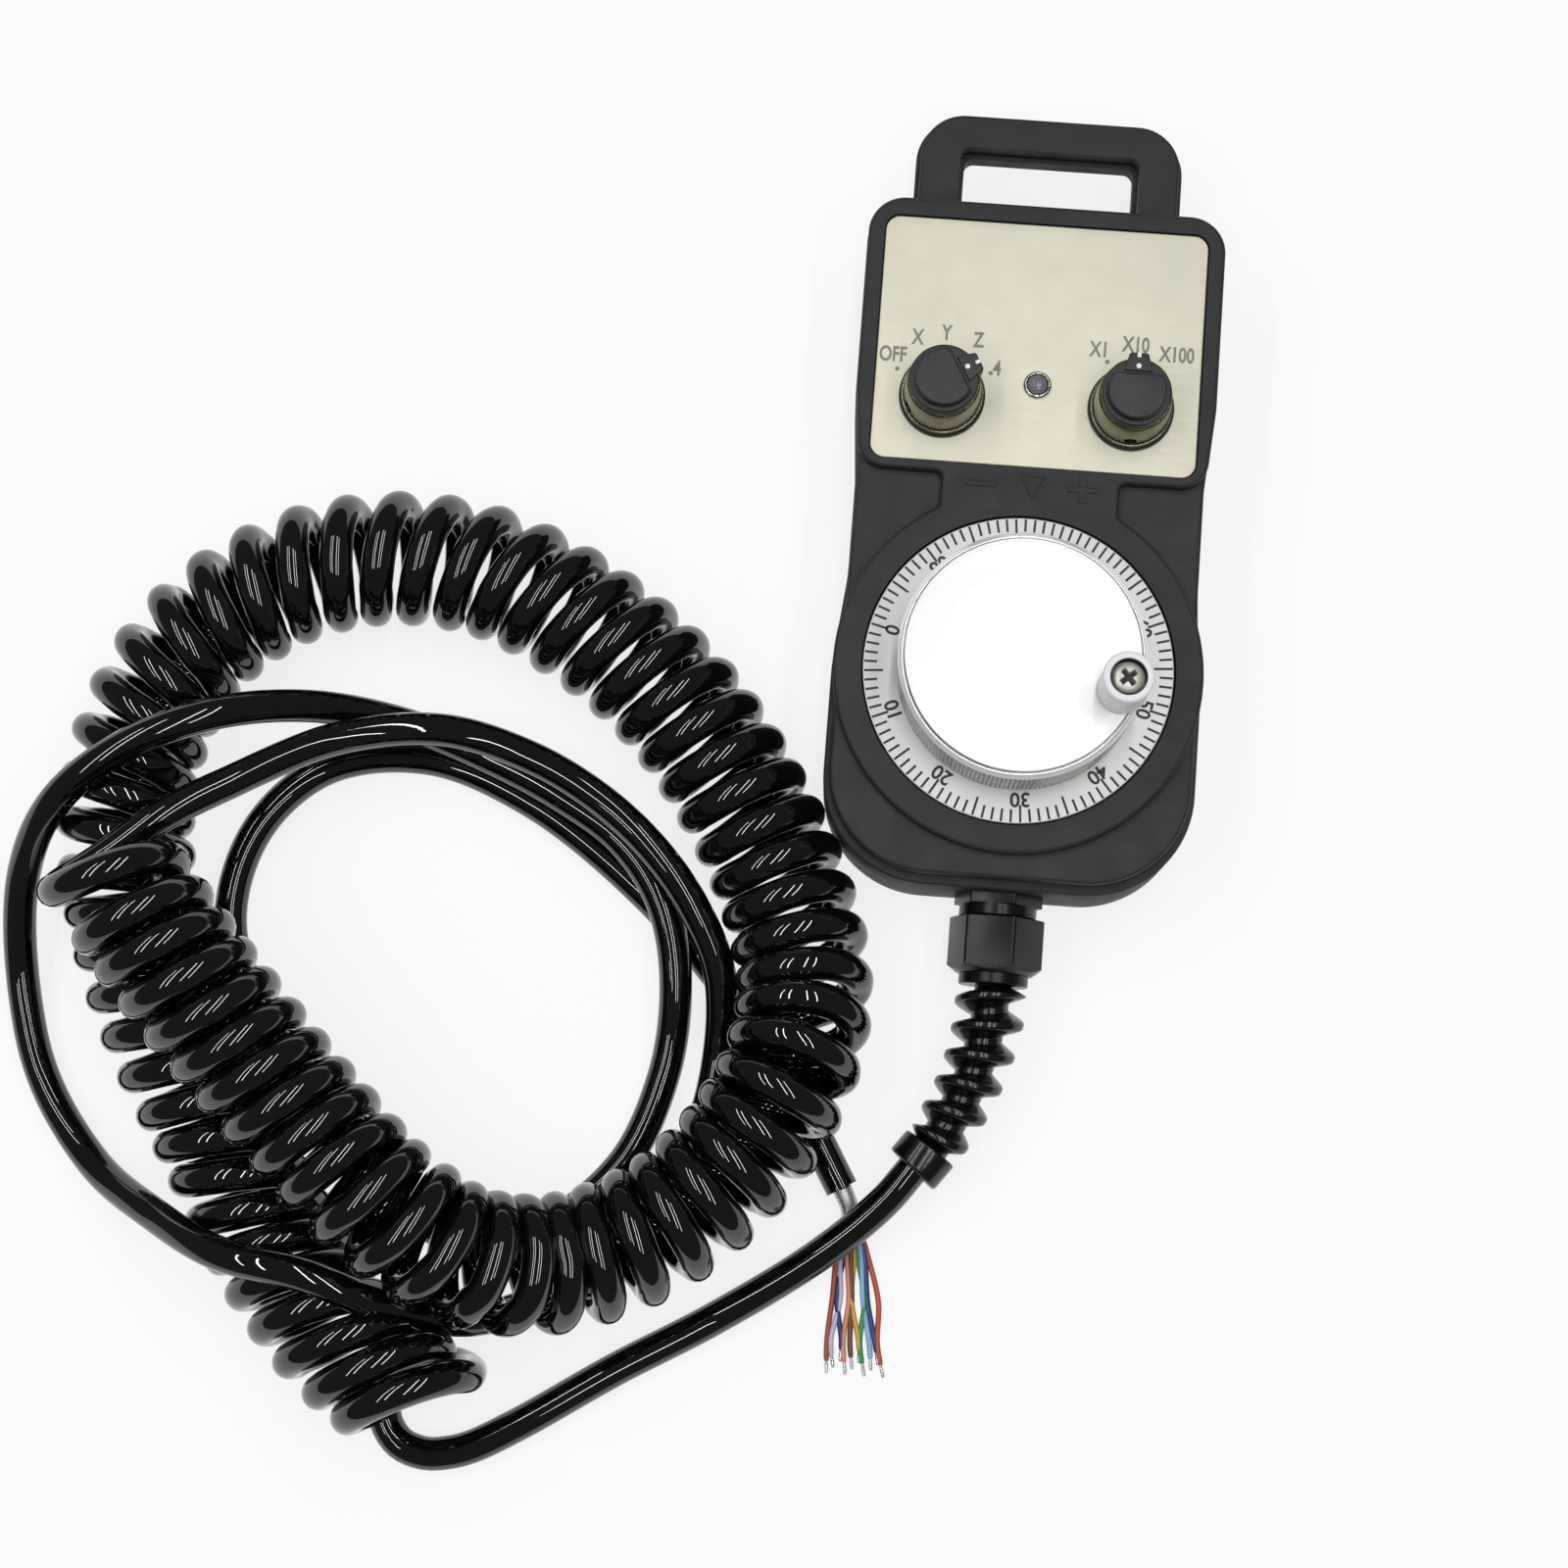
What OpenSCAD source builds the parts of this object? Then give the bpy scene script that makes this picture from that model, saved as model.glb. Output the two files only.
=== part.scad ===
// Hand-held pulse generator (CNC hand wheel pendant) with a coiled cord.
// Millimetres. The back lies on z = 0, +Y points to the hanger, and the origin is the
// middle of the pendant's footprint.

/* [Housing] */
// Width of the head at its widest
head_w = 88.6; // [84:0.2:96]
// Width of the waist between the head and the belly
waist_w = 85.6; // [80:0.2:86]
// Width of the belly beside the wheel
belly_w = 90.2; // [86.6:0.2:96]
// From the wheel's axis up to the top of the head
head_top = 117; // [112:0.5:124]
// From the wheel's axis down to the bottom wall
belly_bottom = 52.7; // [49:0.1:58]
// Radius of the corners at the bottom
belly_r = 26; // [18:0.5:32]
// Radius of the corners at the top
head_r = 9.3; // [6:0.1:14]
// Height of the raised face above the back
face_h = 38; // [36:0.5:44]
// Height of the raised face above the lower side faces
face_step = 3; // [2:0.1:4]
// Depth of the front shell
front_depth = 8; // [7:0.1:9]
// How far the rear shell stands out past the front shell
flange_out = 1.4; // [0.6:0.1:2]
// Wall of both shells
wall = 2.6; // [2:0.1:3.2]
// Width of the neck between the wheel and the head
neck_w = 43.6; // [36:0.2:50]
// Rounding of the back edge
back_round = 5; // [3:0.1:6]

/* [Panel] */
// Width of the brushed panel
panel_w = 79.5; // [76:0.1:80]
// Length of the brushed panel
panel_len = 61.4; // [58:0.1:62]
// Thickness of the brushed panel
panel_t = 1.2; // [1:0.1:1.6]
// How far the panel lies below the bezel
panel_sunk = 0.5; // [0.3:0.1:1]
// Gap around the panel
panel_gap = 0.4; // [0.2:0.1:0.8]
// Diameter of the indicator's bezel
led_bezel_d = 6.8; // [6:0.1:8]

/* [Hanger] */
// Width over both legs
hanger_w = 67.2; // [60:0.2:72]
// Height of the loop above the head
hanger_h = 27; // [22:0.5:34]
// Width of the bar
hanger_bar = 12.2; // [9:0.1:14]
// Thickness front to back
hanger_t = 10; // [8:0.1:12]
// Radius of the outer corners
hanger_r = 12; // [8:0.5:14]

/* [Hand wheel] */
// Diameter of the graduated ring
dial_d = 75; // [70:0.5:77]
// Clearance around the graduated ring
dial_gap = 0.5; // [0.3:0.1:1]
// Thickness of the graduated ring
dial_t = 2.5; // [2:0.1:3]
// Diameter of the hub
hub_d = 59.4; // [56:0.2:62]
// Height of the hub above the face
hub_h = 18; // [14:0.5:22]
// Diameter of the mirror disc on the hub
disc_d = 56.2; // [52:0.2:56.6]
// Radius at which the crank grip stands
crank_r = 24.5; // [20:0.1:25]
// Height of the crank grip
grip_h = 16; // [14:0.5:22]
// Diameter of the crank grip at its foot
grip_d = 12; // [10:0.2:13]
// Diameter of the encoder shaft
shaft_d = 8; // [6:0.5:10]
// Diameter of the crank screw's shank
pin_d = 4; // [3:0.2:5]
// Radial running clearance of shafts and pins
run_fit = 0.05; // [0.02:0.01:0.1]

/* [Selectors] */
// Distance between the two knobs
knob_pitch = 46.2; // [42:0.2:48]
// From the wheel's axis up to the knobs
knob_y = 66.6; // [64:0.1:70]
// Diameter of the skirt at its foot
knob_d = 19.6; // [18:0.2:21]
// Height of a knob above the panel
knob_h = 17.7; // [16:0.1:20]
// Angle of the axis knob's pointer
axis_angle = 30; // [30:30:150]
// Angle of the rate knob's pointer
rate_angle = 90; // [60:30:120]
// Diameter of the switch shaft
switch_shaft_d = 6; // [5:0.5:6.5]
// Diameter of the switch's threaded bush
bush_d = 9; // [8:0.1:10]

/* [Cable gland] */
// Height of the cable's axis at the gland
gland_h = 17; // [15:0.5:19]
// Size across the flats of the gland's body
gland_af = 19; // [17:0.5:20]
// Size across the flats of the dome nut
nut_af = 20.5; // [19:0.5:22]
// Length of the dome nut's hexagon
nut_len = 13.9; // [11:0.1:16]
// Diameter of the gland's thread
gland_thread_d = 16; // [14:0.5:17]
// Diameter of the cable
cable_d = 8; // [7:0.1:8.2]
// Outer diameter of the cable's curls
curl_d = 33; // [30:0.5:33.5]
// Turns of the strain relief's helical rib
relief_turns = 6; // [4:1:8]
// Length of the strain relief's rib
relief_len = 42.7; // [36:0.1:50]

/* [Hidden] */
$fn = 96;
slip = 0.1;               // clearance of parts that are pushed together
cut = 1;                  // how far a cutter runs past a face
same = 0.01;              // points nearer than this are one
float_gap = 0.3;          // gap between a turning part and a fixed one

// Heights
split_h = face_h - front_depth;
ceiling_h = face_h - face_step - wall - 0.2;
panel_top = face_h - panel_sunk;
panel_floor = panel_top - panel_t;
dial_top = face_h - float_gap;
dial_floor = dial_top - dial_t - 2 * float_gap;
disc_t = 1.2;
hub_top = face_h + hub_h;
disc_top = hub_top + disc_t;
grip_foot = disc_top + float_gap;
grip_top = grip_foot + grip_h;

// Lengths along the pendant, from the wheel's axis
neck_round = 1.5;
bezel_foot = 47.8;
panel_mid = (bezel_foot + head_top) / 2 - 1.3;
hanger_top = head_top + hanger_h;
gland_flange = 2.9;
gland_ring = 2.8;
nut_neck = 2.7;
gland_end = belly_bottom + gland_flange + gland_ring + nut_len + nut_neck;
dial_y = (gland_end - hanger_top) / 2;
gland_y = dial_y - belly_bottom;
relief_y = dial_y - gland_end;

// Encoder and switches inside the housing
encoder_d = 52;
encoder_flange_d = 66;
encoder_flange_t = 3;
encoder_foot = 8;
spigot_d = 30;
encoder_screw_r = 28;
encoder_screw_d = 3;
switch_d = 25;
switch_len = 16;
switch_nut_af = 12;
switch_nut_t = 2;
seal_t = 1.8;
skirt_foot = panel_top + seal_t + float_gap;
skirt_top = panel_top + knob_h - 5.2;
cap_flange_top = panel_top + knob_h - 2;
knob_core_d = knob_d - 4.2;
core_foot = skirt_foot + 1;
grub_h = skirt_foot + 3;
grub_d = 3;
led_y = knob_y + 4.4;
led_d = led_bezel_d - 1.8;
crank_angle = -15.9;

// Screws that hold the shells together: [x, y] from the wheel's axis
shell_screw_at = [[head_w / 2 - 6.8, head_top - 10], [waist_w / 2 - 7.8, 42],
  [belly_w / 2 - 12.1, 19.7 - belly_bottom]];
shell_screw_d = 3.3;
screw_seat = 10;
screw_head_d = 6;
shell_head_t = 2;
screw_bite = 10;
post_d = 9;
post_top = 16;

// Gland inside
locknut_t = 4;
gland_turn = 11;

// Strain relief: the cable bends in one arc and sinks a little along it
relief_bend = 72;
relief_sink = 3.2;
collar_len = 7;
collar_d = 14.5;
rib_r = 9;
rib_end_r = 7.3;
rib_half = 2.1;
relief_core_r = cable_d / 2 + 0.4;
relief_steps = 8;
relief_all = relief_len + collar_len;
tail_gap = 0.45;          // so that the bend's end faces stay clear of each other

// Routes of the cord: points on the centre line, from the strain relief to the bare end
TAIL = [[-23, -164, 12], [-38, -178, 8], [-62, -196, 4.2], [-86, -212, 4.2],
  [-105, -223, 6], [-120, -230, 12], [-131, -233, 17], [-138, -229, 18]];
COIL = [[-130, -220, 17], [-152, -204, 17], [-170, -183, 17], [-184, -160, 17],
  [-198, -138, 17], [-209, -115, 17], [-216, -90, 17], [-215, -64, 17], [-204, -39, 17],
  [-184, -22, 17], [-158, -14, 17], [-131, -16, 17], [-105, -28, 17], [-83, -45, 17],
  [-66, -66, 17], [-53, -89, 17], [-46, -112, 20], [-48, -134, 26], [-59, -156, 26],
  [-77, -174, 26], [-99, -184, 28], [-120, -184, 38], [-140, -173, 45], [-158, -157, 46],
  [-175, -140, 48], [-192, -122, 51], [-212, -99, 52]];
LEAD = [[-213, -98, 39.6], [-203, -88, 39], [-189, -76, 35], [-165, -62, 26],
  [-140, -57, 21], [-118, -62, 21.5], [-100, -71, 22], [-86, -82, 22], [-75, -95, 19.5],
  [-67, -111, 14], [-66, -133, 6.5], [-70, -152, 4.2], [-80, -170, 4.2], [-98, -189, 6],
  [-118, -199, 17], [-139, -197, 32], [-159, -191, 39], [-178, -188, 37],
  [-198, -180, 23], [-217, -169, 9], [-233, -149, 4.2], [-242, -124, 6], [-240, -100, 18],
  [-230, -83, 33], [-214, -70, 39], [-194, -60, 37], [-172, -54, 24], [-150, -55, 13],
  [-128, -62, 13], [-110, -70, 13.5], [-94, -80, 13.5], [-83, -94, 13.5], [-78, -112, 10],
  [-79, -136, 4.2], [-88, -160, 4.2], [-108, -177, 4.2], [-134, -178, 4.2],
  [-158, -159, 4.2], [-177, -135, 4.2], [-190, -108, 4.2], [-188, -82, 4.2],
  [-170, -65, 4.2], [-145, -62, 4.2], [-118, -71, 4.2], [-90, -90, 4.2],
  [-67, -112, 4.2], [-49, -135, 4.2], [-33, -161, 4.2]];
SHIELD = [[-32.8, -161.4, 4.1], [-31, -165, 3.6], [-30, -170, 2.6]];
wire_d = 1.2;
wire_count = 10;
wire_tip_y = -206;
cord_sides = 10;

// ---- Outlines -------------------------------------------------------------------

function unit(v) = v / norm(v);
function left_of(v) = [-v.y, v.x];

// Points [x, y, r] of a symmetric outline, given from its lowest right point upward
function both_sides(half) = concat(half,
  [for (i = [len(half) - 1:-1:0]) [-half[i].x, half[i].y, half[i].z]]);

// The outline moved inward by d, with each corner's radius following
function inset(v, d) = [for (i = [0:len(v) - 1])
  let (p = v[(i + len(v) - 1) % len(v)], c = v[i], q = v[(i + 1) % len(v)],
    a = unit([c.x - p.x, c.y - p.y]), b = unit([q.x - c.x, q.y - c.y]),
    m = left_of(a) + left_of(b), k = d / (1 + left_of(a) * left_of(b)),
    convex = a.x * b.y - a.y * b.x > 0)
  [c.x + m.x * k, c.y + m.y * k, max(0.1, convex ? c.z - d : c.z + d)]];

// Each corner of the outline rounded by n + 1 points on an arc; arcs that meet share one
function rounded(v, n = 6) = let (all = corner_arcs(v, n), last = len(all) - 1)
  [for (i = [0:last]) if (norm(all[i] - all[i == 0 ? last : i - 1]) > same) all[i]];
function corner_arcs(v, n) = [for (i = [0:len(v) - 1])
  let (c = [v[i].x, v[i].y], r = v[i].z,
    p = v[(i + len(v) - 1) % len(v)], q = v[(i + 1) % len(v)],
    a = unit([p.x, p.y] - c), b = unit([q.x, q.y] - c), half = acos(a * b) / 2,
    m = c + unit(a + b) * r / sin(half), s = c + a * r / tan(half) - m,
    e = c + b * r / tan(half) - m, from = atan2(s.y, s.x),
    turn = (atan2(e.y, e.x) - from + 540) % 360 - 180)
  for (j = [0:n]) m + r * [cos(from + turn * j / n), sin(from + turn * j / n)]];

// Closed skin through rings of points that all have the same count. Rings that aren't
// convex come with the faces that close the first one, by point number.
module skin(rings, cap) {
  n = len(rings[0]);
  last = len(rings) - 1;
  foot = is_undef(cap) ? [[for (j = [0:n - 1]) j]] : cap;
  polyhedron(
    points = [for (ring = rings, p = ring) p],
    faces = concat(foot,
      [for (face = foot) [for (j = [len(face) - 1:-1:0]) last * n + face[j]]],
      [for (i = [0:last - 1], j = [0:n - 1])
        let (k = (j + 1) % n) each [
          [i * n + j, (i + 1) * n + k, i * n + k],
          [i * n + j, (i + 1) * n + j, (i + 1) * n + k]]]),
    convexity = 6);
}

// Strips from side to side that cover a mirrored ring, m being the point across from
// the first. Where a point lies on the middle line it comes last, and closes the foot.
function strips(ring) = let (n = len(ring), centred = abs(ring[n - 1].x) < same,
    m = centred ? n - 2 : n - 1)
  concat(centred ? [[n - 1, 0, m]] : [], [for (i = [0:floor(m / 2) - 1])
    i + 1 < m - i - 1 ? [i, i + 1, m - i - 1, m - i] : [i, i + 1, m - i]]);

// An outline carried through levels of [height, inset]
module loft(outline, levels, n = 6) {
  rings = [for (l = levels) [for (p = rounded(inset(outline, l[1]), n)) [p.x, p.y, l[0]]]];
  skin(rings, strips(rings[0]));
}

// Rear outline: head, waist, belly and bottom
REAR = both_sides([[belly_w / 2, -belly_bottom, belly_r], [belly_w / 2, 0, 60],
  [waist_w / 2, 22, 60], [waist_w / 2, 48, 20], [head_w / 2, 68, 30],
  [head_w / 2, head_top, head_r]]);
// Front outline: inside the rear one at the belly and the bottom
FRONT = both_sides([
  [belly_w / 2 - flange_out, -belly_bottom + 1.6 * flange_out, belly_r - flange_out],
  [belly_w / 2 - flange_out, 0, 60], [waist_w / 2 - 0.3, 22, 60],
  [waist_w / 2 - 0.3, 48, 20], [head_w / 2 - 0.2, 68, 30],
  [head_w / 2 - 0.2, head_top - 0.2, head_r - 0.2]]);
// Raised face: the round plateau, the neck and the head's bezel in one keyhole. The
// plateau's arcs lie in the corners of tangents, and the last tangent meets the neck.
plateau_r = belly_w / 2 - 0.3;
last_tangent = 58;
foot_rise = 0.1;          // so that each of the cap's strips has some width
neck_meets = plateau_r * sin(last_tangent)
  + (plateau_r * cos(last_tangent) - neck_w / 2) / tan(last_tangent);
RAISED = both_sides([[plateau_r, -plateau_r, plateau_r],
  [plateau_r, plateau_r * tan(last_tangent / 2), plateau_r], [neck_w / 2, neck_meets, 1],
  [neck_w / 2, bezel_foot, neck_round], [waist_w / 2 - 0.3, bezel_foot + foot_rise, 7],
  [head_w / 2 - 0.2, 68, 30], [head_w / 2 - 0.2, head_top - 0.2, head_r - 0.2]]);
function panel_outline(grow) = both_sides([
  [panel_w / 2 + grow, panel_mid - panel_len / 2 - grow, 3.5 + grow],
  [panel_w / 2 + grow, panel_mid + panel_len / 2 + grow, 3.5 + grow]]);

// ---- Helpers --------------------------------------------------------------------

module from_dial() translate([0, dial_y, 0]) children();
module both() for (side = [-1, 1]) scale([side, 1, 1]) children();
module pin(d, z0, z1, x = 0, y = 0) translate([x, y, z0]) cylinder(d = d, h = z1 - z0);
module at_knob(side) translate([side * knob_pitch / 2, dial_y + knob_y, 0]) children();
module at_shell_screws()
  for (side = [-1, 1], p = shell_screw_at) translate([side * p.x, dial_y + p.y, 0]) children();
module at_encoder_screws()
  for (a = [90:120:330]) translate([encoder_screw_r * cos(a), dial_y + encoder_screw_r * sin(a), 0])
    children();
module prism(outline, z0, z1)
  translate([0, 0, z0]) linear_extrude(z1 - z0) polygon(rounded(outline));
// Along -Y from the bottom wall, for the gland
module along_gland(at = 0)
  translate([0, gland_y - at, gland_h]) rotate([90, 0, 0]) children();
module hexagon(af, h) cylinder(d = af / cos(30), h = h, $fn = 6);

// ---- Housing --------------------------------------------------------------------

edge_r = 1.1;
groove_h = 0.8;

module front_shell() color("#3a3a3c") {
  difference() {
    union() {
      from_dial() {
        loft(FRONT, [[split_h, 1], [split_h + groove_h, 1], [split_h + groove_h, 0],
          [face_h - face_step - edge_r, 0], [face_h - face_step - 0.3, 0.3],
          [face_h - face_step, edge_r]]);
        loft(RAISED, [[split_h + groove_h, 0], [face_h - edge_r, 0],
          [face_h - 0.3, 0.3], [face_h, edge_r]], 10);
      }
    }
    from_dial() {
      loft(FRONT, [[split_h - cut, wall], [ceiling_h, wall]], 3);
      pin(dial_d + 2 * dial_gap, dial_floor, face_h + cut);
      pin(spigot_d + 2 * slip, split_h, face_h);
      prism(panel_outline(panel_gap), panel_floor, face_h + cut);
      pin(led_d + 2 * slip, split_h, face_h, 0, led_y);
    }
    at_encoder_screws() {
      pin(encoder_screw_d + 2 * slip, split_h, face_h);
      encoder_screw_head(slip);
    }
    for (side = [-1, 1]) at_knob(side) pin(bush_d + 2 * slip, split_h, face_h);
  }
  // Bosses that the shell screws bite into
  at_shell_screws() difference() {
    pin(post_d - 2, post_top, ceiling_h + wall / 2);
    pin(shell_screw_d, post_top - cut, ceiling_h - cut);
  }
}

module rear_shell() color("#343436") {
  slot_w = hanger_bar - 2 * hanger_tenon;
  difference() {
    union() {
      difference() {
        from_dial() loft(REAR, [[0, back_round], [back_round * 0.06, back_round * 0.66],
          [back_round * 0.24, back_round * 0.34], [back_round * 0.52, back_round * 0.12],
          [back_round, 0], [split_h - 0.6, 0], [split_h, 0.5]]);
        from_dial() loft(REAR, [[wall, wall + 1], [wall + 1, wall], [split_h + cut, wall]], 3);
      }
      at_shell_screws() pin(post_d, wall / 2, post_top);
      at_board_posts() pin(5, wall / 2, board_h);
    }
    at_shell_screws() {
      pin(shell_screw_d + 2 * slip, -cut, post_top + cut);
      pin(screw_head_d + 6 * slip, -cut, screw_seat);
    }
    along_gland(-wall - cut) cylinder(d = gland_thread_d + 2 * slip, h = wall + 2 * cut);
    both() translate([hanger_w / 2 - hanger_bar + hanger_tenon - slip,
      dial_y + head_top - wall - cut, hanger_foot + hanger_tenon - slip])
      cube([slot_w + 2 * slip, wall + 2 * cut, hanger_t - 2 * hanger_tenon + 2 * slip]);
  }
}

// ---- Hanger ---------------------------------------------------------------------

hanger_foot = split_h - 2 - hanger_t;
hanger_tenon = 2;
hanger_lip = 1.1;

// Outer form of the loop, its feet cut flat on the head
function hanger_outline(in) = both_sides([
  [hanger_w / 2 - in, head_top - 4, 1], [hanger_w / 2 - in, hanger_top - in, hanger_r - in]]);

module hanger_handle() color("#38383a") {
  middle = hanger_foot + hanger_t * 0.45;
  from_dial() difference() {
    loft(hanger_outline(0), [[hanger_foot, 0.9], [hanger_foot + 0.3, 0.3],
      [hanger_foot + 0.9, 0], [middle, 0], [middle + 0.5, hanger_lip],
      [hanger_foot + hanger_t - 1, hanger_lip],
      [hanger_foot + hanger_t - 0.3, hanger_lip + 0.3],
      [hanger_foot + hanger_t, hanger_lip + 1]]);
    for (l = [[hanger_foot - cut, hanger_bar], [middle, hanger_bar - hanger_lip]])
      prism(both_sides([[hanger_w / 2 - l[1], head_top - 5, 1],
        [hanger_w / 2 - l[1], hanger_top - l[1] + 1.6, 2.5]]), l[0], hanger_foot + hanger_t + cut);
    translate([-hanger_w, head_top - hanger_w, 0]) cube([2 * hanger_w, hanger_w, face_h]);
  }
  // Tenons through the top wall, and the foot that holds them from inside
  both() translate([hanger_w / 2 - hanger_bar + hanger_tenon,
    dial_y + head_top - wall - 1, hanger_foot + hanger_tenon])
    cube([hanger_bar - 2 * hanger_tenon, wall + 1 + 2, hanger_t - 2 * hanger_tenon]);
  translate([1 - hanger_w / 2, dial_y + head_top - wall - 3, hanger_foot + 1])
    cube([hanger_w - 2, 3, hanger_t - 2]);
}

// ---- Panel and shell screws -------------------------------------------------------

module front_panel() color("#ddd8c4") difference() {
  from_dial() prism(panel_outline(0), panel_floor, panel_top);
  for (side = [-1, 1]) at_knob(side) pin(bush_d + 2 * slip, panel_floor - cut, panel_top + cut);
  from_dial() pin(led_d + 2 * slip, panel_floor - cut, panel_top + cut, 0, led_y);
}

module shell_screws() color("#8c8f92") at_shell_screws() difference() {
  union() {
    pin(screw_head_d, screw_seat - shell_head_t, screw_seat);
    pin(shell_screw_d, screw_seat, post_top + screw_bite);
  }
  pin(screw_head_d * 0.42, screw_seat - shell_head_t - cut, screw_seat - shell_head_t / 2);
}

// ---- Selector switches ------------------------------------------------------------

module seal_ring() color("#1c1c1e") rotate_extrude() polygon([
  [bush_d / 2 + 3.9, panel_top], [knob_d / 2 + 0.75, panel_top],
  [knob_d / 2 + 0.75, panel_top + seal_t - 0.5], [knob_d / 2 + 0.25, panel_top + seal_t],
  [bush_d / 2 + 3.9, panel_top + seal_t]]);

// Bright lip, dark groove and cone
module knob_skirt() color("#8a8266") difference() {
  rotate_extrude() polygon([
    [knob_core_d / 2, skirt_foot], [knob_d / 2 + 0.3, skirt_foot],
    [knob_d / 2 + 0.3, skirt_foot + 0.7], [knob_d / 2 - 0.5, skirt_foot + 0.9],
    [knob_d / 2 - 0.5, skirt_foot + 1.4], [knob_d / 2, skirt_foot + 1.5],
    [knob_d / 2 - 0.9, skirt_top - 0.3], [knob_d / 2 - 1.2, skirt_top],
    [knob_core_d / 2, skirt_top]]);
  grub_hole(grub_d / 2 + slip);
}

module grub_hole(r)
  translate([0, 0, grub_h]) rotate([0, -90, 0]) cylinder(r = r, h = knob_d);

// Cap: core inside the skirt, round flange, raised D and the pointer's tab
cap_r = 8.4;
cap_d_r = 7.2;
cap_flat = 4.2;
tab_reach = 9.5;
tab_foot_w = 6.8;
tab_tip_w = 4.7;
module knob_cap() color("#1e1e20") difference() {
  union() {
    pin(knob_core_d, core_foot, skirt_top);
    rotate_extrude() polygon([[0, skirt_top], [cap_r, skirt_top],
      [cap_r, cap_flange_top - 0.5], [cap_r - 0.5, cap_flange_top], [0, cap_flange_top]]);
    intersection() {
      rotate_extrude() polygon([[0, skirt_top], [cap_d_r, skirt_top],
        [cap_d_r, panel_top + knob_h - 0.6], [cap_d_r - 0.6, panel_top + knob_h],
        [0, panel_top + knob_h]]);
      translate([-cap_r, -cap_r, skirt_top]) cube([cap_r + cap_flat, 2 * cap_r, knob_h]);
    }
    translate([0, 0, skirt_top]) linear_extrude(cap_flange_top - skirt_top + 0.6)
      polygon([[5, -tab_foot_w / 2], [tab_reach - 0.4, -tab_tip_w / 2],
        [tab_reach, 0.4 - tab_tip_w / 2], [tab_reach, -0.5], [tab_reach - 1.1, -0.5],
        [tab_reach - 1.1, 0.5], [tab_reach, 0.5], [tab_reach, tab_tip_w / 2 - 0.4],
        [tab_reach - 0.4, tab_tip_w / 2], [5, tab_foot_w / 2]]);
  }
  pin(switch_shaft_d, core_foot - cut, shaft_end);
  grub_hole(grub_d / 2 + slip);
}

shaft_end = skirt_top + 2;
module grub_screw() color("#55585c") difference() {
  translate([-switch_shaft_d / 2 - slip, 0, grub_h]) rotate([0, -90, 0])
    cylinder(d = grub_d, h = 5);
  translate([-switch_shaft_d / 2 - slip - 3.5, 0, grub_h]) rotate([0, -90, 0])
    cylinder(r = 0.87, h = 4, $fn = 6);
}

module switch_shaft() color("#c9ccd0") pin(switch_shaft_d, ceiling_h - switch_len + 3, shaft_end);

module switch_body() color("#2f4a6b") difference() {
  union() {
    pin(switch_d, ceiling_h - switch_len, ceiling_h);
    pin(bush_d, ceiling_h, panel_top + switch_nut_t + 0.6);
    // Solder lugs around the back
    for (a = [0:45:315]) rotate([0, 0, a])
      translate([switch_d / 2 - 3, -0.9, ceiling_h - switch_len - 3]) cube([0.6, 1.8, 3.2]);
  }
  pin(switch_shaft_d + 2 * run_fit, ceiling_h - switch_len + 3 - run_fit, face_h + 10);
}

module switch_nut() color("#b9bcc0") translate([0, 0, panel_top]) difference() {
  hexagon(switch_nut_af, switch_nut_t);
  translate([0, 0, -cut]) cylinder(d = bush_d, h = switch_nut_t + 2 * cut);
}

module turned(angle) rotate([0, 0, angle]) children();
module axis_seal_ring() at_knob(-1) seal_ring();
module axis_knob_skirt() at_knob(-1) turned(axis_angle) knob_skirt();
module axis_knob_cap() at_knob(-1) turned(axis_angle) knob_cap();
module axis_grub_screw() at_knob(-1) turned(axis_angle) grub_screw();
module axis_switch_body() at_knob(-1) switch_body();
module axis_switch_shaft() at_knob(-1) switch_shaft();
module axis_switch_nut() at_knob(-1) switch_nut();
module rate_seal_ring() at_knob(1) seal_ring();
module rate_knob_skirt() at_knob(1) turned(rate_angle) knob_skirt();
module rate_knob_cap() at_knob(1) turned(rate_angle) knob_cap();
module rate_grub_screw() at_knob(1) turned(rate_angle) grub_screw();
module rate_switch_body() at_knob(1) switch_body();
module rate_switch_shaft() at_knob(1) switch_shaft();
module rate_switch_nut() at_knob(1) switch_nut();

// ---- Indicator --------------------------------------------------------------------

led_shell = 0.9;
module led_bezel() color("#c4c4bd") from_dial() translate([0, led_y, 0]) rotate_extrude() polygon([
  [led_d / 2 - led_shell, ceiling_h - 3], [led_d / 2, ceiling_h - 3], [led_d / 2, panel_top],
  [led_bezel_d / 2, panel_top], [led_bezel_d / 2, panel_top + 0.5],
  [led_bezel_d / 2 - 0.4, panel_top + 0.9], [led_d / 2 - led_shell, panel_top + 0.9]]);

module led_lens() color("#5a4a48") from_dial() translate([0, led_y, 0]) {
  r = led_d / 2 - led_shell;
  pin(2 * r, ceiling_h - 5, panel_top + 0.6);
  intersection() {
    translate([0, 0, panel_top + 0.6]) sphere(r = r, $fn = 48);
    pin(2 * r + 1, panel_top + 0.5, panel_top + 0.6 + r);
  }
}

// ---- Hand wheel -------------------------------------------------------------------

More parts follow.
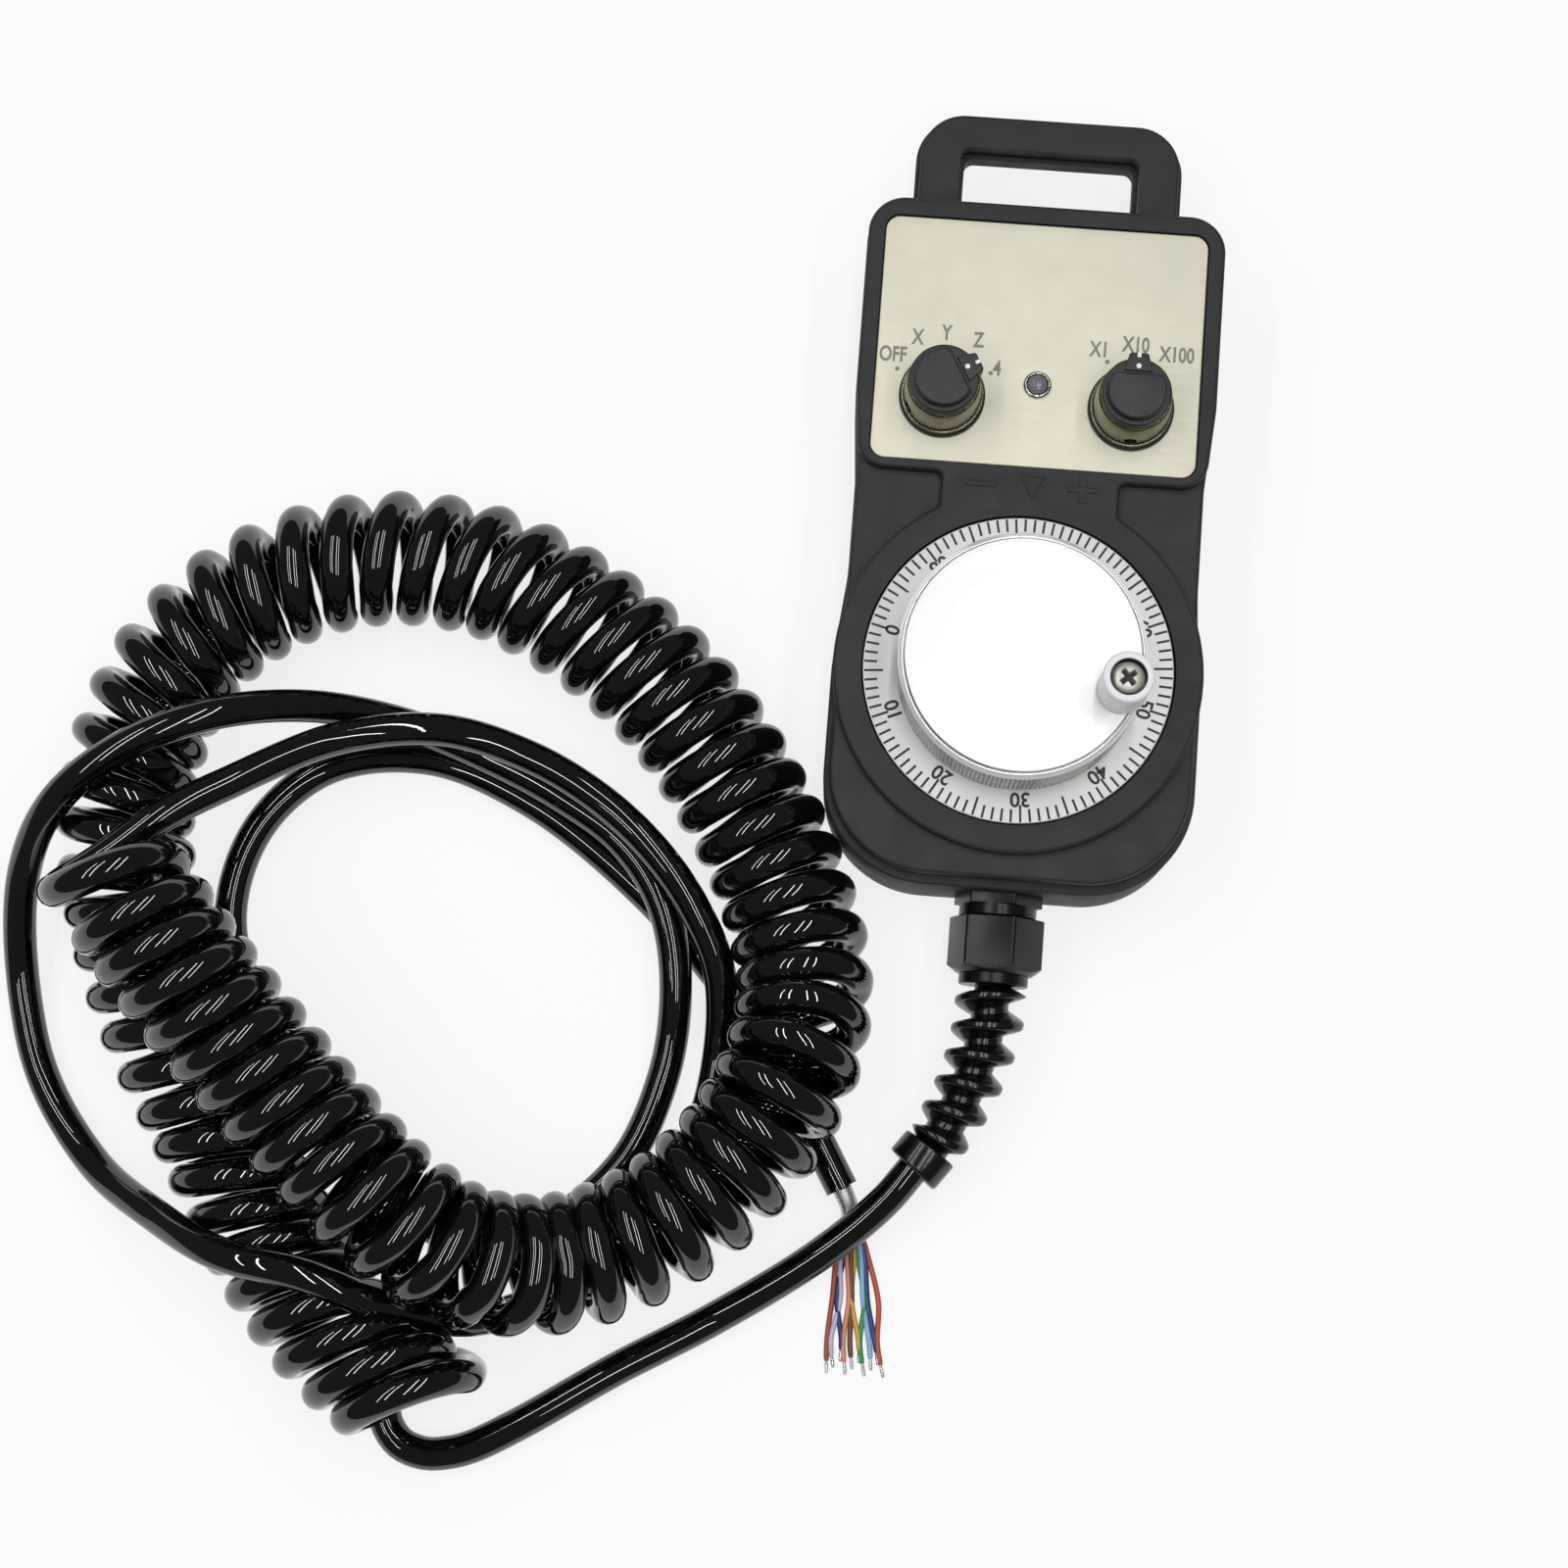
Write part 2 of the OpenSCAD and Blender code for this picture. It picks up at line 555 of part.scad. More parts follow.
rim_t = 3;
web_t = 3.5;
boss_d = 18;
crank_boss_d = 9;
pin_foot = 10;
crank_x = crank_r * cos(crank_angle);
crank_y = crank_r * sin(crank_angle);
wheel_foot = dial_floor + 2 * float_gap;
module dial_wheel() color("#cfd0d0") from_dial() difference() {
  union() {
    rotate_extrude() polygon([[hub_d / 2 - rim_t, wheel_foot], [dial_d / 2 - 0.3, wheel_foot],
      [dial_d / 2, wheel_foot + 0.3], [dial_d / 2, dial_top - 0.2],
      [dial_d / 2 - 0.2, dial_top], [hub_d / 2 + 0.4, dial_top], [hub_d / 2, dial_top + 0.4],
      [hub_d / 2, hub_top - 1.4], [disc_d / 2 + 0.1, hub_top + 0.2],
      [disc_d / 2 + 0.1, hub_top], [0, hub_top], [0, hub_top - web_t],
      [hub_d / 2 - rim_t, hub_top - web_t]]);
    pin(boss_d, dial_top, hub_top - web_t / 2);
    pin(crank_boss_d, hub_top - pin_foot, hub_top - web_t / 2, crank_x, crank_y);
  }
  pin(shaft_d, 0, hub_top - web_t);
  pin(pin_d, hub_top - pin_foot + 1, hub_top + cut, crank_x, crank_y);
}

module wheel_face_disc() color("#f2f3f3") from_dial() difference() {
  rotate_extrude() polygon([[0, hub_top], [disc_d / 2, hub_top], [disc_d / 2, disc_top - 0.3],
    [disc_d / 2 - 0.3, disc_top], [0, disc_top]]);
  pin(pin_d, hub_top - cut, disc_top + cut, crank_x, crank_y);
}

grip_waist = 1;
grip_wall = 1.7;
head_sunk = 3.2;
screw_head_t = 2.3;
// Spool: a foot, a waist on one arc, and a rim round the screw's recess
module crank_grip() color("#eceded") from_dial() translate([crank_x, crank_y, 0])
  rotate_extrude() polygon(concat(
    [[pin_d / 2 + run_fit, grip_foot], [grip_d / 2 - 0.3, grip_foot],
      [grip_d / 2, grip_foot + 0.3]],
    [for (i = [0:10]) [grip_d / 2 - grip_waist * sin(18 * i),
      grip_foot + 1.2 + (grip_h - 2.6) * i / 10]],
    [[grip_d / 2, grip_top - 0.6], [grip_d / 2 - 0.6, grip_top],
      [grip_d / 2 - grip_wall + 0.2, grip_top], [grip_d / 2 - grip_wall, grip_top - 0.2],
      [grip_d / 2 - grip_wall, grip_top - head_sunk],
      [pin_d / 2 + run_fit, grip_top - head_sunk]]));

screw_head_r = grip_d / 2 - grip_wall - 0.5;
screw_head_foot = grip_top - head_sunk + float_gap;
module crank_screw() color("#c2c5c9") from_dial() difference() {
  union() {
    pin(pin_d, hub_top - pin_foot + 1, screw_head_foot + 0.1, crank_x, crank_y);
    translate([crank_x, crank_y, screw_head_foot]) rotate_extrude() polygon([
      [0, 0], [screw_head_r, 0], [screw_head_r, screw_head_t - 1],
      [screw_head_r - 0.5, screw_head_t - 0.3], [screw_head_r - 1.4, screw_head_t],
      [0, screw_head_t]]);
  }
  for (a = [0, 90]) translate([crank_x, crank_y, screw_head_foot + screw_head_t - 1.2])
    rotate([0, 0, a + 30]) translate([-2.2, -0.4, 0]) cube([4.4, 0.8, 2]);
}

// ---- Encoder ----------------------------------------------------------------------

bearing_foot = encoder_foot + 4;
module encoder_body() color("#8f9498") difference() {
  from_dial() rotate_extrude() polygon([[0, encoder_foot], [encoder_d / 2 - 1, encoder_foot],
    [encoder_d / 2, encoder_foot + 1], [encoder_d / 2, ceiling_h - encoder_flange_t],
    [encoder_flange_d / 2, ceiling_h - encoder_flange_t], [encoder_flange_d / 2, ceiling_h],
    [spigot_d / 2, ceiling_h], [spigot_d / 2, dial_floor], [0, dial_floor]]);
  from_dial() pin(shaft_d + 2 * run_fit, bearing_foot - run_fit, face_h);
  at_encoder_screws() pin(encoder_screw_d, ceiling_h - encoder_flange_t - cut - 4, ceiling_h + cut);
}

module encoder_shaft() color("#c9ccd0") from_dial() pin(shaft_d, bearing_foot, hub_top - web_t);

// Countersunk head, flush with the floor under the wheel
module encoder_screw_head(grow)
  translate([0, 0, dial_floor - 1.5 - grow]) cylinder(r1 = encoder_screw_d / 2,
    r2 = encoder_screw_d / 2 + 1.5 + grow, h = 1.5 + grow);
module encoder_screws() color("#9a9da1") at_encoder_screws() {
  encoder_screw_head(0);
  pin(encoder_screw_d, ceiling_h - encoder_flange_t - 2, dial_floor - 1);
}

// ---- Electronics ------------------------------------------------------------------

board_h = 8;
board_t = 1.6;
board_w = 62;
board_foot = 47.5;
board_len = 52;
module at_board_posts() for (x = [-1, 1], y = [4, board_len - 6])
  translate([x * (board_w / 2 - 4), dial_y + board_foot + y, 0]) children();

module circuit_board() color("#1f5c3a")
  translate([-board_w / 2, dial_y + board_foot, board_h]) cube([board_w, board_len, board_t]);

terminal_w = 45;
terminal_len = 6;
terminal_t = 9;
terminal_pitch = 4;
terminal_hole_d = 2.6;
module terminal_block() color("#3f7f4f") difference() {
  translate([-terminal_w / 2, dial_y + board_foot, board_h + board_t])
    cube([terminal_w, terminal_len, terminal_t]);
  for (i = [-5:5])
    translate([i * terminal_pitch, dial_y + board_foot + terminal_len / 2, board_h + board_t])
      pin(terminal_hole_d, terminal_t * 0.75, terminal_t + cut);
}

// The cable inside the housing: from the gland round the encoder to the terminals
gland_inside = wall + locknut_t + 1;
INNER = [[0, gland_inside - belly_bottom + 0.5, gland_h], [4, -41, 15], [11, -38, 10.5],
  [20, -33, 7], [28, -22, 6.8], [34, -8, 6.8], [35, 5, 6.8], [29, 23, 6.8], [20, 35, 8],
  [13, 42, 11.5], [11, board_foot - 4, 14], [11, board_foot, 14]];
module inner_cable() color("#202022") {
  from_dial() tube(INNER, cable_d / 2 - 0.2, 8);
  along_gland(-gland_inside - 0.6) cylinder(d = cable_d, h = gland_inside + 0.6 + gland_end - belly_bottom);
}

// ---- Cable gland ------------------------------------------------------------------

module gland_body() color("#161617") difference() {
  union() {
    along_gland(-gland_inside) cylinder(d = gland_thread_d, h = gland_inside + 1);
    along_gland() rotate([0, 0, gland_turn]) hexagon(gland_af, gland_flange);
    along_gland(gland_flange - 0.5) cylinder(d = gland_af, h = gland_ring + 0.5);
    along_gland(gland_flange + gland_ring - 0.1)
      cylinder(d = gland_thread_d - 1, h = nut_len * 0.45);
  }
  along_gland(-gland_inside - cut) cylinder(d = cable_d + 2 * slip, h = 60);
}

module gland_locknut() color("#1d1d1f") difference() {
  along_gland(-wall - locknut_t) rotate([0, 0, 30]) hexagon(gland_af + 2, locknut_t);
  along_gland(-wall - locknut_t - cut) cylinder(d = gland_thread_d, h = locknut_t + 2 * cut);
}

nut_from = gland_flange + gland_ring;
module gland_nut() color("#161617") difference() {
  union() {
    along_gland(nut_from) intersection() {
      rotate([0, 0, gland_turn]) hexagon(nut_af, nut_len);
      // Chamfers the corners at the cable's end
      rotate_extrude() polygon([[0, 0], [nut_af * 0.6, 0], [nut_af * 0.6, nut_len - 2.4],
        [nut_af * 0.45, nut_len], [0, nut_len]]);
    }
    along_gland(nut_from + nut_len - 0.1) cylinder(d = 2 * rib_r - 1, h = nut_neck + 0.1);
  }
  along_gland(nut_from - cut) cylinder(d = gland_thread_d - 1, h = seal_at - nut_from + cut);
  along_gland(seal_at - 0.01) cylinder(d = gland_thread_d - 2, h = seal_len);
  along_gland(nut_from) cylinder(d = cable_d + 2 * slip, h = 60);
}

seal_at = nut_from + nut_len * 0.45 - 0.1;
seal_len = 5;
module gland_seal() color("#2a2a2c") difference() {
  along_gland(seal_at) cylinder(d = gland_thread_d - 2, h = seal_len - 0.01);
  along_gland(seal_at - cut) cylinder(d = cable_d, h = seal_len + 2 * cut);
}

// ---- Strain relief ----------------------------------------------------------------

// Centre line of the relief, at a distance s from the gland
function relief_turned(s) = s / relief_bend * 180 / PI;
function relief_at(s) = [-relief_bend * (1 - cos(relief_turned(s))),
  relief_y - relief_bend * sin(relief_turned(s)), gland_h - relief_sink * s / relief_all];
function relief_side(s) = [-cos(relief_turned(s)), sin(relief_turned(s)), 0];
function relief_ring(s, n, radius) = [for (j = [0:n - 1]) let (a = 360 * j / n, r = radius[j])
  relief_at(s) + r * (cos(a) * relief_side(s) - sin(a) * [0, 0, 1])];

// Height of the helical rib over the core, at s along it and a round it
function rib(s, a) = let (pitch = relief_len / relief_turns, t = s / pitch - a / 360,
    off = abs(t - round(t)) * pitch,
    crest = rib_r + (rib_end_r - rib_r) * s / relief_len,
    ends = min(1, s / 2.5, (relief_len - s) / 2.5))
  relief_core_r + (crest - relief_core_r) * max(0, ends) * min(1, max(0, 1.45 - off / rib_half));

rib_sides = 20;
module strain_relief() color("#141415")
  skin([for (i = [0:relief_turns * relief_steps])
    let (s = relief_len * i / (relief_turns * relief_steps))
    relief_ring(s, rib_sides, [for (j = [0:rib_sides - 1]) rib(s, 360 * j / rib_sides)])]);

module relief_collar() color("#1a1a1b")
  skin([for (l = [[0, -0.6], [0.6, 0], [collar_len - 0.8, 0], [collar_len, -0.8]])
    relief_ring(relief_len + l[0], 32, [for (j = [1:32]) collar_d / 2 + l[1]])]);

// ---- Cord -------------------------------------------------------------------------

function along(p, i) = unit(p[min(i + 1, len(p) - 1)] - p[max(i - 1, 0)]);
function ring(c, dir, r, n) = let (side = unit(cross(dir, [0, 0, 1])), up = cross(side, dir))
  [for (j = [0:n - 1]) c + r * (cos(360 * j / n) * up + sin(360 * j / n) * side)];
module tube(p, r, n = cord_sides)
  skin([for (i = [0:len(p) - 1]) ring(p[i], along(p, i), r, n)]);

module cord_tail() color("#0d0d0e")
  tube(concat([relief_at(relief_all + tail_gap)], TAIL), cable_d / 2);
module cord_coil() color("#0d0d0e") tube(COIL, curl_d / 2, 12);
module cord_lead() color("#0d0d0e") tube(LEAD, cable_d / 2);
module core_shield() color("#b9bbbd") tube(SHIELD, 2.2, 8);

// The cores fan out from the shield to their tinned tips
module core_wires() color("#8c6a3a") for (i = [0:wire_count - 1]) {
  from = SHIELD[len(SHIELD) - 1];
  spread = i - (wire_count - 1) / 2;
  tube([from + [0.3 * spread, -0.6, 0], from + [0.35 * spread, -7, -1.4],
    from + [0.7 * spread, -20, 0.65 - from.z],
    [from.x + 3.5 + 1.4 * spread, wire_tip_y + 1.5 * (i % 3), wire_d / 2 + 0.05]],
    wire_d / 2, 6);
}

front_shell();
rear_shell();
hanger_handle();
front_panel();
shell_screws();
axis_seal_ring();
axis_knob_skirt();
axis_knob_cap();
axis_grub_screw();
axis_switch_body();
axis_switch_shaft();
axis_switch_nut();
rate_seal_ring();
rate_knob_skirt();
rate_knob_cap();
rate_grub_screw();
rate_switch_body();
rate_switch_shaft();
rate_switch_nut();
led_lens();
led_bezel();
dial_wheel();
wheel_face_disc();
crank_grip();
crank_screw();
encoder_body();
encoder_shaft();
encoder_screws();
circuit_board();
terminal_block();
inner_cable();
gland_body();
gland_locknut();
gland_seal();
gland_nut();
strain_relief();
relief_collar();
cord_tail();
cord_coil();
cord_lead();
core_shield();
core_wires();
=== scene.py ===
"""Dresses the pulse generator handwheel, piece by piece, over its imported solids."""

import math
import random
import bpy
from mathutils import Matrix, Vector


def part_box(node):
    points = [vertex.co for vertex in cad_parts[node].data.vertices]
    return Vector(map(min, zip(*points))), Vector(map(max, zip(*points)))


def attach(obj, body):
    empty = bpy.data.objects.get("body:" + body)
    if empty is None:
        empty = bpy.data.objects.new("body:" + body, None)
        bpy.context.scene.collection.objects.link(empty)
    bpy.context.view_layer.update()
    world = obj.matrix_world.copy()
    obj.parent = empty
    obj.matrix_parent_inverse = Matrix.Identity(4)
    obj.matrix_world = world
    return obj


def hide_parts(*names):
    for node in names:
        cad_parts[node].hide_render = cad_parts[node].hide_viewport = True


bl_info = {
    "name": "Pulse Generator Handwheel",
    "version": (1, 0, 0),
    "blender": (4, 5, 0),
    "location": "View3D > Sidebar > Handwheel",
    "description": "Shells, panel, selectors, hand wheel, gland and coiled cord of a hand-held pulse generator",
    "category": "Object",
}

import bmesh
import bpy
from bpy.props import FloatProperty, FloatVectorProperty, IntProperty, PointerProperty
from mathutils import Matrix, Vector

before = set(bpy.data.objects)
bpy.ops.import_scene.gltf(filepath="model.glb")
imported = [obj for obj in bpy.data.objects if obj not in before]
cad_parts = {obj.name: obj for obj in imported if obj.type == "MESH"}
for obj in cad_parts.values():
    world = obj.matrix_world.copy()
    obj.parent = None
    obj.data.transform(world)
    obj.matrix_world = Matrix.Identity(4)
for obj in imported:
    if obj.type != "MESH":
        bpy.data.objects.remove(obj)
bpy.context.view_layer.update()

MM = 0.001
UP = Vector((0, 0, 1))
# Metres within which points of a piece are one, and millimetres within which a point is on an axis
# or two points of an outline are one
WELD = 1e-7
ON_AXIS = 1e-6
SAME = 1e-4


def middle(node):
    """Centre of a node's footprint, in millimetres."""
    low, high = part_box(node)
    return (low + high) / 2 / MM


# Places that come from the frame, in millimetres
WHEEL = Vector((0.0, middle("dial_wheel").y, 0.0))
HUB_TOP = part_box("wheel_face_disc")[0].z / MM
DISC_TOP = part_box("wheel_face_disc")[1].z / MM
PANEL_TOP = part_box("front_panel")[1].z / MM
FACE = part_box("front_shell")[1].z / MM
CRANK = middle("crank_grip")
GLAND_HEIGHT = middle("gland_body").z
# Outer face of the bottom wall, where the gland stands
GLAND_FOOT = WHEEL.y - 52.7


# ---- Settings ----------------------------------------------------------------


def hex_colour(code):
    """An sRGB hex value as linear RGBA."""
    parts = [int(code[i : i + 2], 16) / 255 for i in (1, 3, 5)]
    return tuple(c / 12.92 if c <= 0.04045 else ((c + 0.055) / 1.055) ** 2.4 for c in parts) + (1.0,)


def colour(name, description, code):
    """A colour setting with its default written as sRGB hex."""
    return FloatVectorProperty(
        name=name, description=description, default=hex_colour(code), min=0, max=1,
        subtype="COLOR", size=4,
    )


def length(name, description, default, low, high):
    """A length setting in metres."""
    return FloatProperty(
        name=name, description=description, default=default, min=low, max=high,
        subtype="DISTANCE", unit="LENGTH",
    )


class HandwheelSizes(bpy.types.PropertyGroup):
    """Sizes that a user would change."""

    cable: length("Cable", "Diameter of the cable's jacket", 0.0082, 0.006, 0.0083)
    curl: length("Curl", "Radius of the curls, to the middle of the cable", 0.0129, 0.011, 0.0129)
    turns: IntProperty(name="Turns", description="Full turns of the curly part", default=68, min=50, max=72)
    edge: length("Shell edge", "Rounding of the moulded shells' edges", 0.0011, 0.0003, 0.002)
    teeth: IntProperty(name="Hub teeth", description="Serrations round the hub", default=172, min=60, max=220)
    numeral: length("Numerals", "Height of the numerals on the ring", 0.0034, 0.0015, 0.004)
    label: length("Labels", "Height of the labels on the panel", 0.0037, 0.002, 0.005)


class HandwheelColours(bpy.types.PropertyGroup):
    """Colours that a user would change."""

    shell: colour("Shells", "Moulded shells and hanger", "#2d2d2f")
    panel: colour("Panel", "Champagne anodised panel", "#e0dcc8")
    print: colour("Print", "Print on the panel", "#8a877c")
    aluminium: colour("Wheel", "Turned aluminium of the wheel", "#dcdcda")
    skirt: colour("Skirts", "Anodised skirts of the knobs", "#7a745b")
    cap: colour("Caps", "Caps of the knobs", "#232325")
    jacket: colour("Jacket", "Jacket of the cable", "#08080a")
    gland: colour("Gland", "Gland and strain relief", "#0f0f10")


# ---- Materials ---------------------------------------------------------------


def add_node(tree, kind, settings=None, links=None):
    """Adds one node; settings are socket values or attributes, links are output sockets."""
    node = tree.nodes.new(kind)
    for key, value in (settings or {}).items():
        if isinstance(key, int) or key in node.inputs:
            node.inputs[key].default_value = value
        else:
            setattr(node, key, value)
    for key, source in (links or {}).items():
        tree.links.new(source, node.inputs[key])
    return node


MATERIALS = {}


def start_material(name, base, **sockets):
    """A named Principled material, its base a hex value or linear RGBA, with constants on its sockets."""
    made = bpy.data.materials.new(name)
    made.use_nodes = True
    tree = made.node_tree
    shader = tree.nodes["Principled BSDF"]
    shader.inputs["Base Color"].default_value = hex_colour(base) if isinstance(base, str) else base
    for key, value in sockets.items():
        shader.inputs[key.replace("_", " ")].default_value = value
    MATERIALS[name] = made
    return tree, shader


def surface(tree, shader, height, depth_mm):
    """Puts a height on the shader as bump of a real depth."""
    bump = add_node(tree, "ShaderNodeBump", {"Distance": depth_mm * MM}, {"Height": height})
    tree.links.new(bump.outputs["Normal"], shader.inputs["Normal"])


def place(tree, scale=(1, 1, 1)):
    """Object coordinates, stretched."""
    where = add_node(tree, "ShaderNodeTexCoord").outputs["Object"]
    return add_node(tree, "ShaderNodeMapping", {"Scale": scale}, {"Vector": where}).outputs["Vector"]


def noise(tree, grain_mm, vector, detail=3.0, roughness=0.5):
    """Noise whose grains measure grain_mm along an unstretched axis."""
    settings = {"Scale": 1 / (grain_mm * MM), "Detail": detail, "Roughness": roughness}
    return add_node(tree, "ShaderNodeTexNoise", settings, {"Vector": vector}).outputs["Fac"]


def spread(tree, value, low, high):
    """Maps a 0.3..0.7 noise to low..high."""
    settings = {"From Min": 0.3, "From Max": 0.7, "To Min": low, "To Max": high}
    return add_node(tree, "ShaderNodeMapRange", settings, {"Value": value}).outputs["Result"]


def tint(tree, shader, value, share):
    """Varies the base colour by a share of itself."""
    base = shader.inputs["Base Color"].default_value[:3]
    dark = tuple(c * (1 - share) for c in base) + (1,)
    light = tuple(min(1, c * (1 + share)) for c in base) + (1,)
    mix = add_node(tree, "ShaderNodeMix", {"data_type": "RGBA", 6: dark, 7: light}, {0: value})
    tree.links.new(mix.outputs[2], shader.inputs["Base Color"])


# Width of a patch of even gloss on a moulding, in grains
PATCH_GRAINS = 22


def moulded(name, base, grain_mm, depth_mm, low, high, share, **sockets):
    """Moulded plastic: a spark-eroded grain in the bump and patchy gloss."""
    tree, shader = start_material(name, base, **sockets)
    vector = place(tree)
    grain = noise(tree, grain_mm, vector)
    patch = noise(tree, grain_mm * PATCH_GRAINS, vector, 2.0)
    surface(tree, shader, grain, depth_mm)
    tree.links.new(spread(tree, patch, low, high), shader.inputs["Roughness"])
    tint(tree, shader, spread(tree, grain, 0, 1), share)


def brushed(name, base, stretch, line_mm, depth_mm, low, high, share, cloud_mm=12, **sockets):
    """Brushed metal: noise drawn out along the brush's travel, over faint clouds of the dip."""
    tree, shader = start_material(name, base, Metallic=sockets.pop("Metallic", 1.0), **sockets)
    lines = noise(tree, line_mm, place(tree, stretch), 4.0, 0.6)
    clouds = noise(tree, cloud_mm, place(tree), 3.0, 0.6)
    both = add_node(tree, "ShaderNodeMath", {"operation": "MULTIPLY_ADD", 1: 0.5}, {0: lines})
    half = add_node(tree, "ShaderNodeMath", {"operation": "MULTIPLY", 1: 0.5}, {0: clouds})
    tree.links.new(half.outputs[0], both.inputs[2])
    surface(tree, shader, lines, depth_mm)
    tree.links.new(spread(tree, lines, low, high), shader.inputs["Roughness"])
    tint(tree, shader, spread(tree, both.outputs[0], 0, 1), share)


def turned(name, base, line_mm, depth_mm, low, high, share, **sockets):
    """Faced on a lathe: grooves that follow circles round the wheel's axis."""
    tree, shader = start_material(name, base, Metallic=sockets.pop("Metallic", 1.0), **sockets)
    where = add_node(tree, "ShaderNodeTexCoord").outputs["Object"]
    kind = "ShaderNodeVectorMath"
    from_axis = add_node(tree, kind, {"operation": "SUBTRACT", 1: tuple(WHEEL * MM)}, {0: where})
    flat = add_node(tree, kind, {"operation": "MULTIPLY", 1: (1, 1, 0)}, {0: from_axis.outputs[0]})
    radius = add_node(tree, kind, {"operation": "LENGTH"}, {0: flat.outputs[0]})
    along = add_node(tree, "ShaderNodeCombineXYZ", {}, {"X": radius.outputs["Value"]})
    lines = noise(tree, line_mm, along.outputs[0], 4.0, 0.6)
    round_it = add_node(tree, "ShaderNodeTangent", {"direction_type": "RADIAL", "axis": "Z"})
    tree.links.new(round_it.outputs["Tangent"], shader.inputs["Tangent"])
    surface(tree, shader, lines, depth_mm)
    tree.links.new(spread(tree, lines, low, high), shader.inputs["Roughness"])
    tint(tree, shader, spread(tree, lines, 0, 1), share)


def make_materials(c):
    """Every finish: grain and depth in millimetres, range of roughness, and how far the colour varies.

    Eroded grain, brush lines and lathe lines are finer on the real part. They are drawn as coarse as
    they need to show.
    """
    # ABS, moulded in a spark-eroded tool: fine matt grain, a soft sheen on the edges
    moulded("abs_moulded_matt", c.shell, 0.35, 0.012, 0.52, 0.64, 0.05,
            IOR=1.54, Specular_IOR_Level=0.32)
    # ABS knob caps, coarser eroded grain that scatters the light in specks
    moulded("abs_moulded_grained", c.cap, 0.45, 0.05, 0.42, 0.55, 0.15, IOR=1.54)
    # Nylon gland, moulded in a polished tool: dark and glossy with faint flow marks
    moulded("nylon_moulded_gloss", c.gland, 3.0, 0.02, 0.2, 0.32, 0.1,
            IOR=1.53, Specular_IOR_Level=0.3)
    # PVC strain relief, moulded in a polished tool: a sharp highlight along each turn of the rib
    moulded("pvc_moulded_gloss", c.gland, 2.0, 0.01, 0.12, 0.2, 0.08, IOR=1.54)
    # Polyurethane jacket, extruded: wet-looking gloss with very long faint waves
    moulded("polyurethane_extruded", c.jacket, 5.0, 0.012, 0.02, 0.04, 0.1,
            IOR=1.54, Specular_IOR_Level=0.75)
    # Nitrile rubber seals, moulded: dead matt, a shade off black. The same black is laid in the knobs' grooves
    # and in the grip's hollow as painted shade
    moulded("rubber_and_painted_shade", "#1a1a1b", 0.5, 0.01, 0.6, 0.75, 0.1, IOR=1.52)
    # Aluminium panel, brushed from side to side and anodised: long fine lines, warm
    brushed("aluminium_brushed_champagne", c.panel, (0.03, 1, 1), 0.22, 0.003, 0.42, 0.58, 0.07,
            Metallic=0.35)
    # Knob skirts, brushed up and down the cone and anodised olive bronze
    brushed("aluminium_brushed_bronze", c.skirt, (1, 1, 0.03), 0.4, 0.02, 0.2, 0.34, 0.5, cloud_mm=3)
    # Wheel ring, faced on a lathe and satin anodised: the grooves draw the light out into spokes
    turned("aluminium_turned_satin", c.aluminium, 0.3, 0.003, 0.34, 0.46, 0.05,
           Metallic=0.3, Anisotropic=0.7)
    # Hub's side, knurled and tumbled: brighter crests, greyer roots
    brushed("aluminium_knurled", "#c4c4c2", (1, 1, 0.1), 0.3, 0.006, 0.25, 0.4, 0.08, Metallic=0.7)
    # Hub's bevel, cut last with a diamond tool: the brightest line on the wheel
    turned("aluminium_diamond_cut", "#f2f2f2", 0.4, 0.001, 0.16, 0.24, 0.02, Metallic=0.35)
    # Cover disc, aluminium under white satin lacquer: reads as one even white field
    turned("aluminium_lacquered_white", "#e6e6e8", 2.4, 0.001, 0.4, 0.5, 0.005,
           Coat_Weight=0.08, Coat_Roughness=0.2)
    # Grip, acetal turned and polished: milky white with a soft wide gloss
    moulded("acetal_turned_white", "#e9e9ea", 1.2, 0.004, 0.2, 0.32, 0.02,
            IOR=1.48, Subsurface_Weight=0.05, Subsurface_Scale=0.002)
    # Zinc-plated steel screws: bluish grey with fine mottling
    moulded("steel_zinc_plated", "#b9bcc2", 0.6, 0.008, 0.24, 0.4, 0.12, Metallic=1.0)
    # Crank screw, nickel over steel, tumbled: pale warm grey
    moulded("steel_nickel_tumbled", "#cdcac4", 0.7, 0.006, 0.3, 0.45, 0.08, Metallic=0.5)
    # Bottom of the screw's cross: nearly black, with no highlight, painted shade in the slots
    moulded("steel_recess_painted_shade", "#1f1d1b", 0.5, 0.006, 0.5, 0.65, 0.1, Metallic=0.2)
    # Nickel-plated brass, buffed: a warm mirror with hardly a scratch
    moulded("brass_nickel_plated", "#cfccc3", 0.8, 0.003, 0.12, 0.22, 0.05, Metallic=1.0)
    # Steel shafts, ground: cool grey with fine rings and a sharp glint
    turned("steel_ground", "#b5b6b8", 0.3, 0.002, 0.2, 0.32, 0.05)
    # Pad-printed inks, slightly raised and matt: grey on the panel, black on the ring, white on
    # the pointers
    moulded("ink_print_grey", c.print, 0.2, 0.004, 0.5, 0.65, 0.06)
    moulded("ink_print_black", "#2a2a2b", 0.2, 0.004, 0.45, 0.6, 0.06)
    moulded("ink_print_white", "#f1f1ef", 0.2, 0.004, 0.45, 0.6, 0.02)
    # Tinned copper screen, its strands modelled: dull silver that glints on the crests
    moulded("copper_tinned_braid", "#c4c6c9", 0.25, 0.05, 0.25, 0.45, 0.2, Metallic=1.0)
    # Solder on the stripped tips, dipped: bright and a little lumpy
    moulded("solder_tinned_tip", "#c9cacc", 0.4, 0.02, 0.2, 0.35, 0.1, Metallic=1.0)
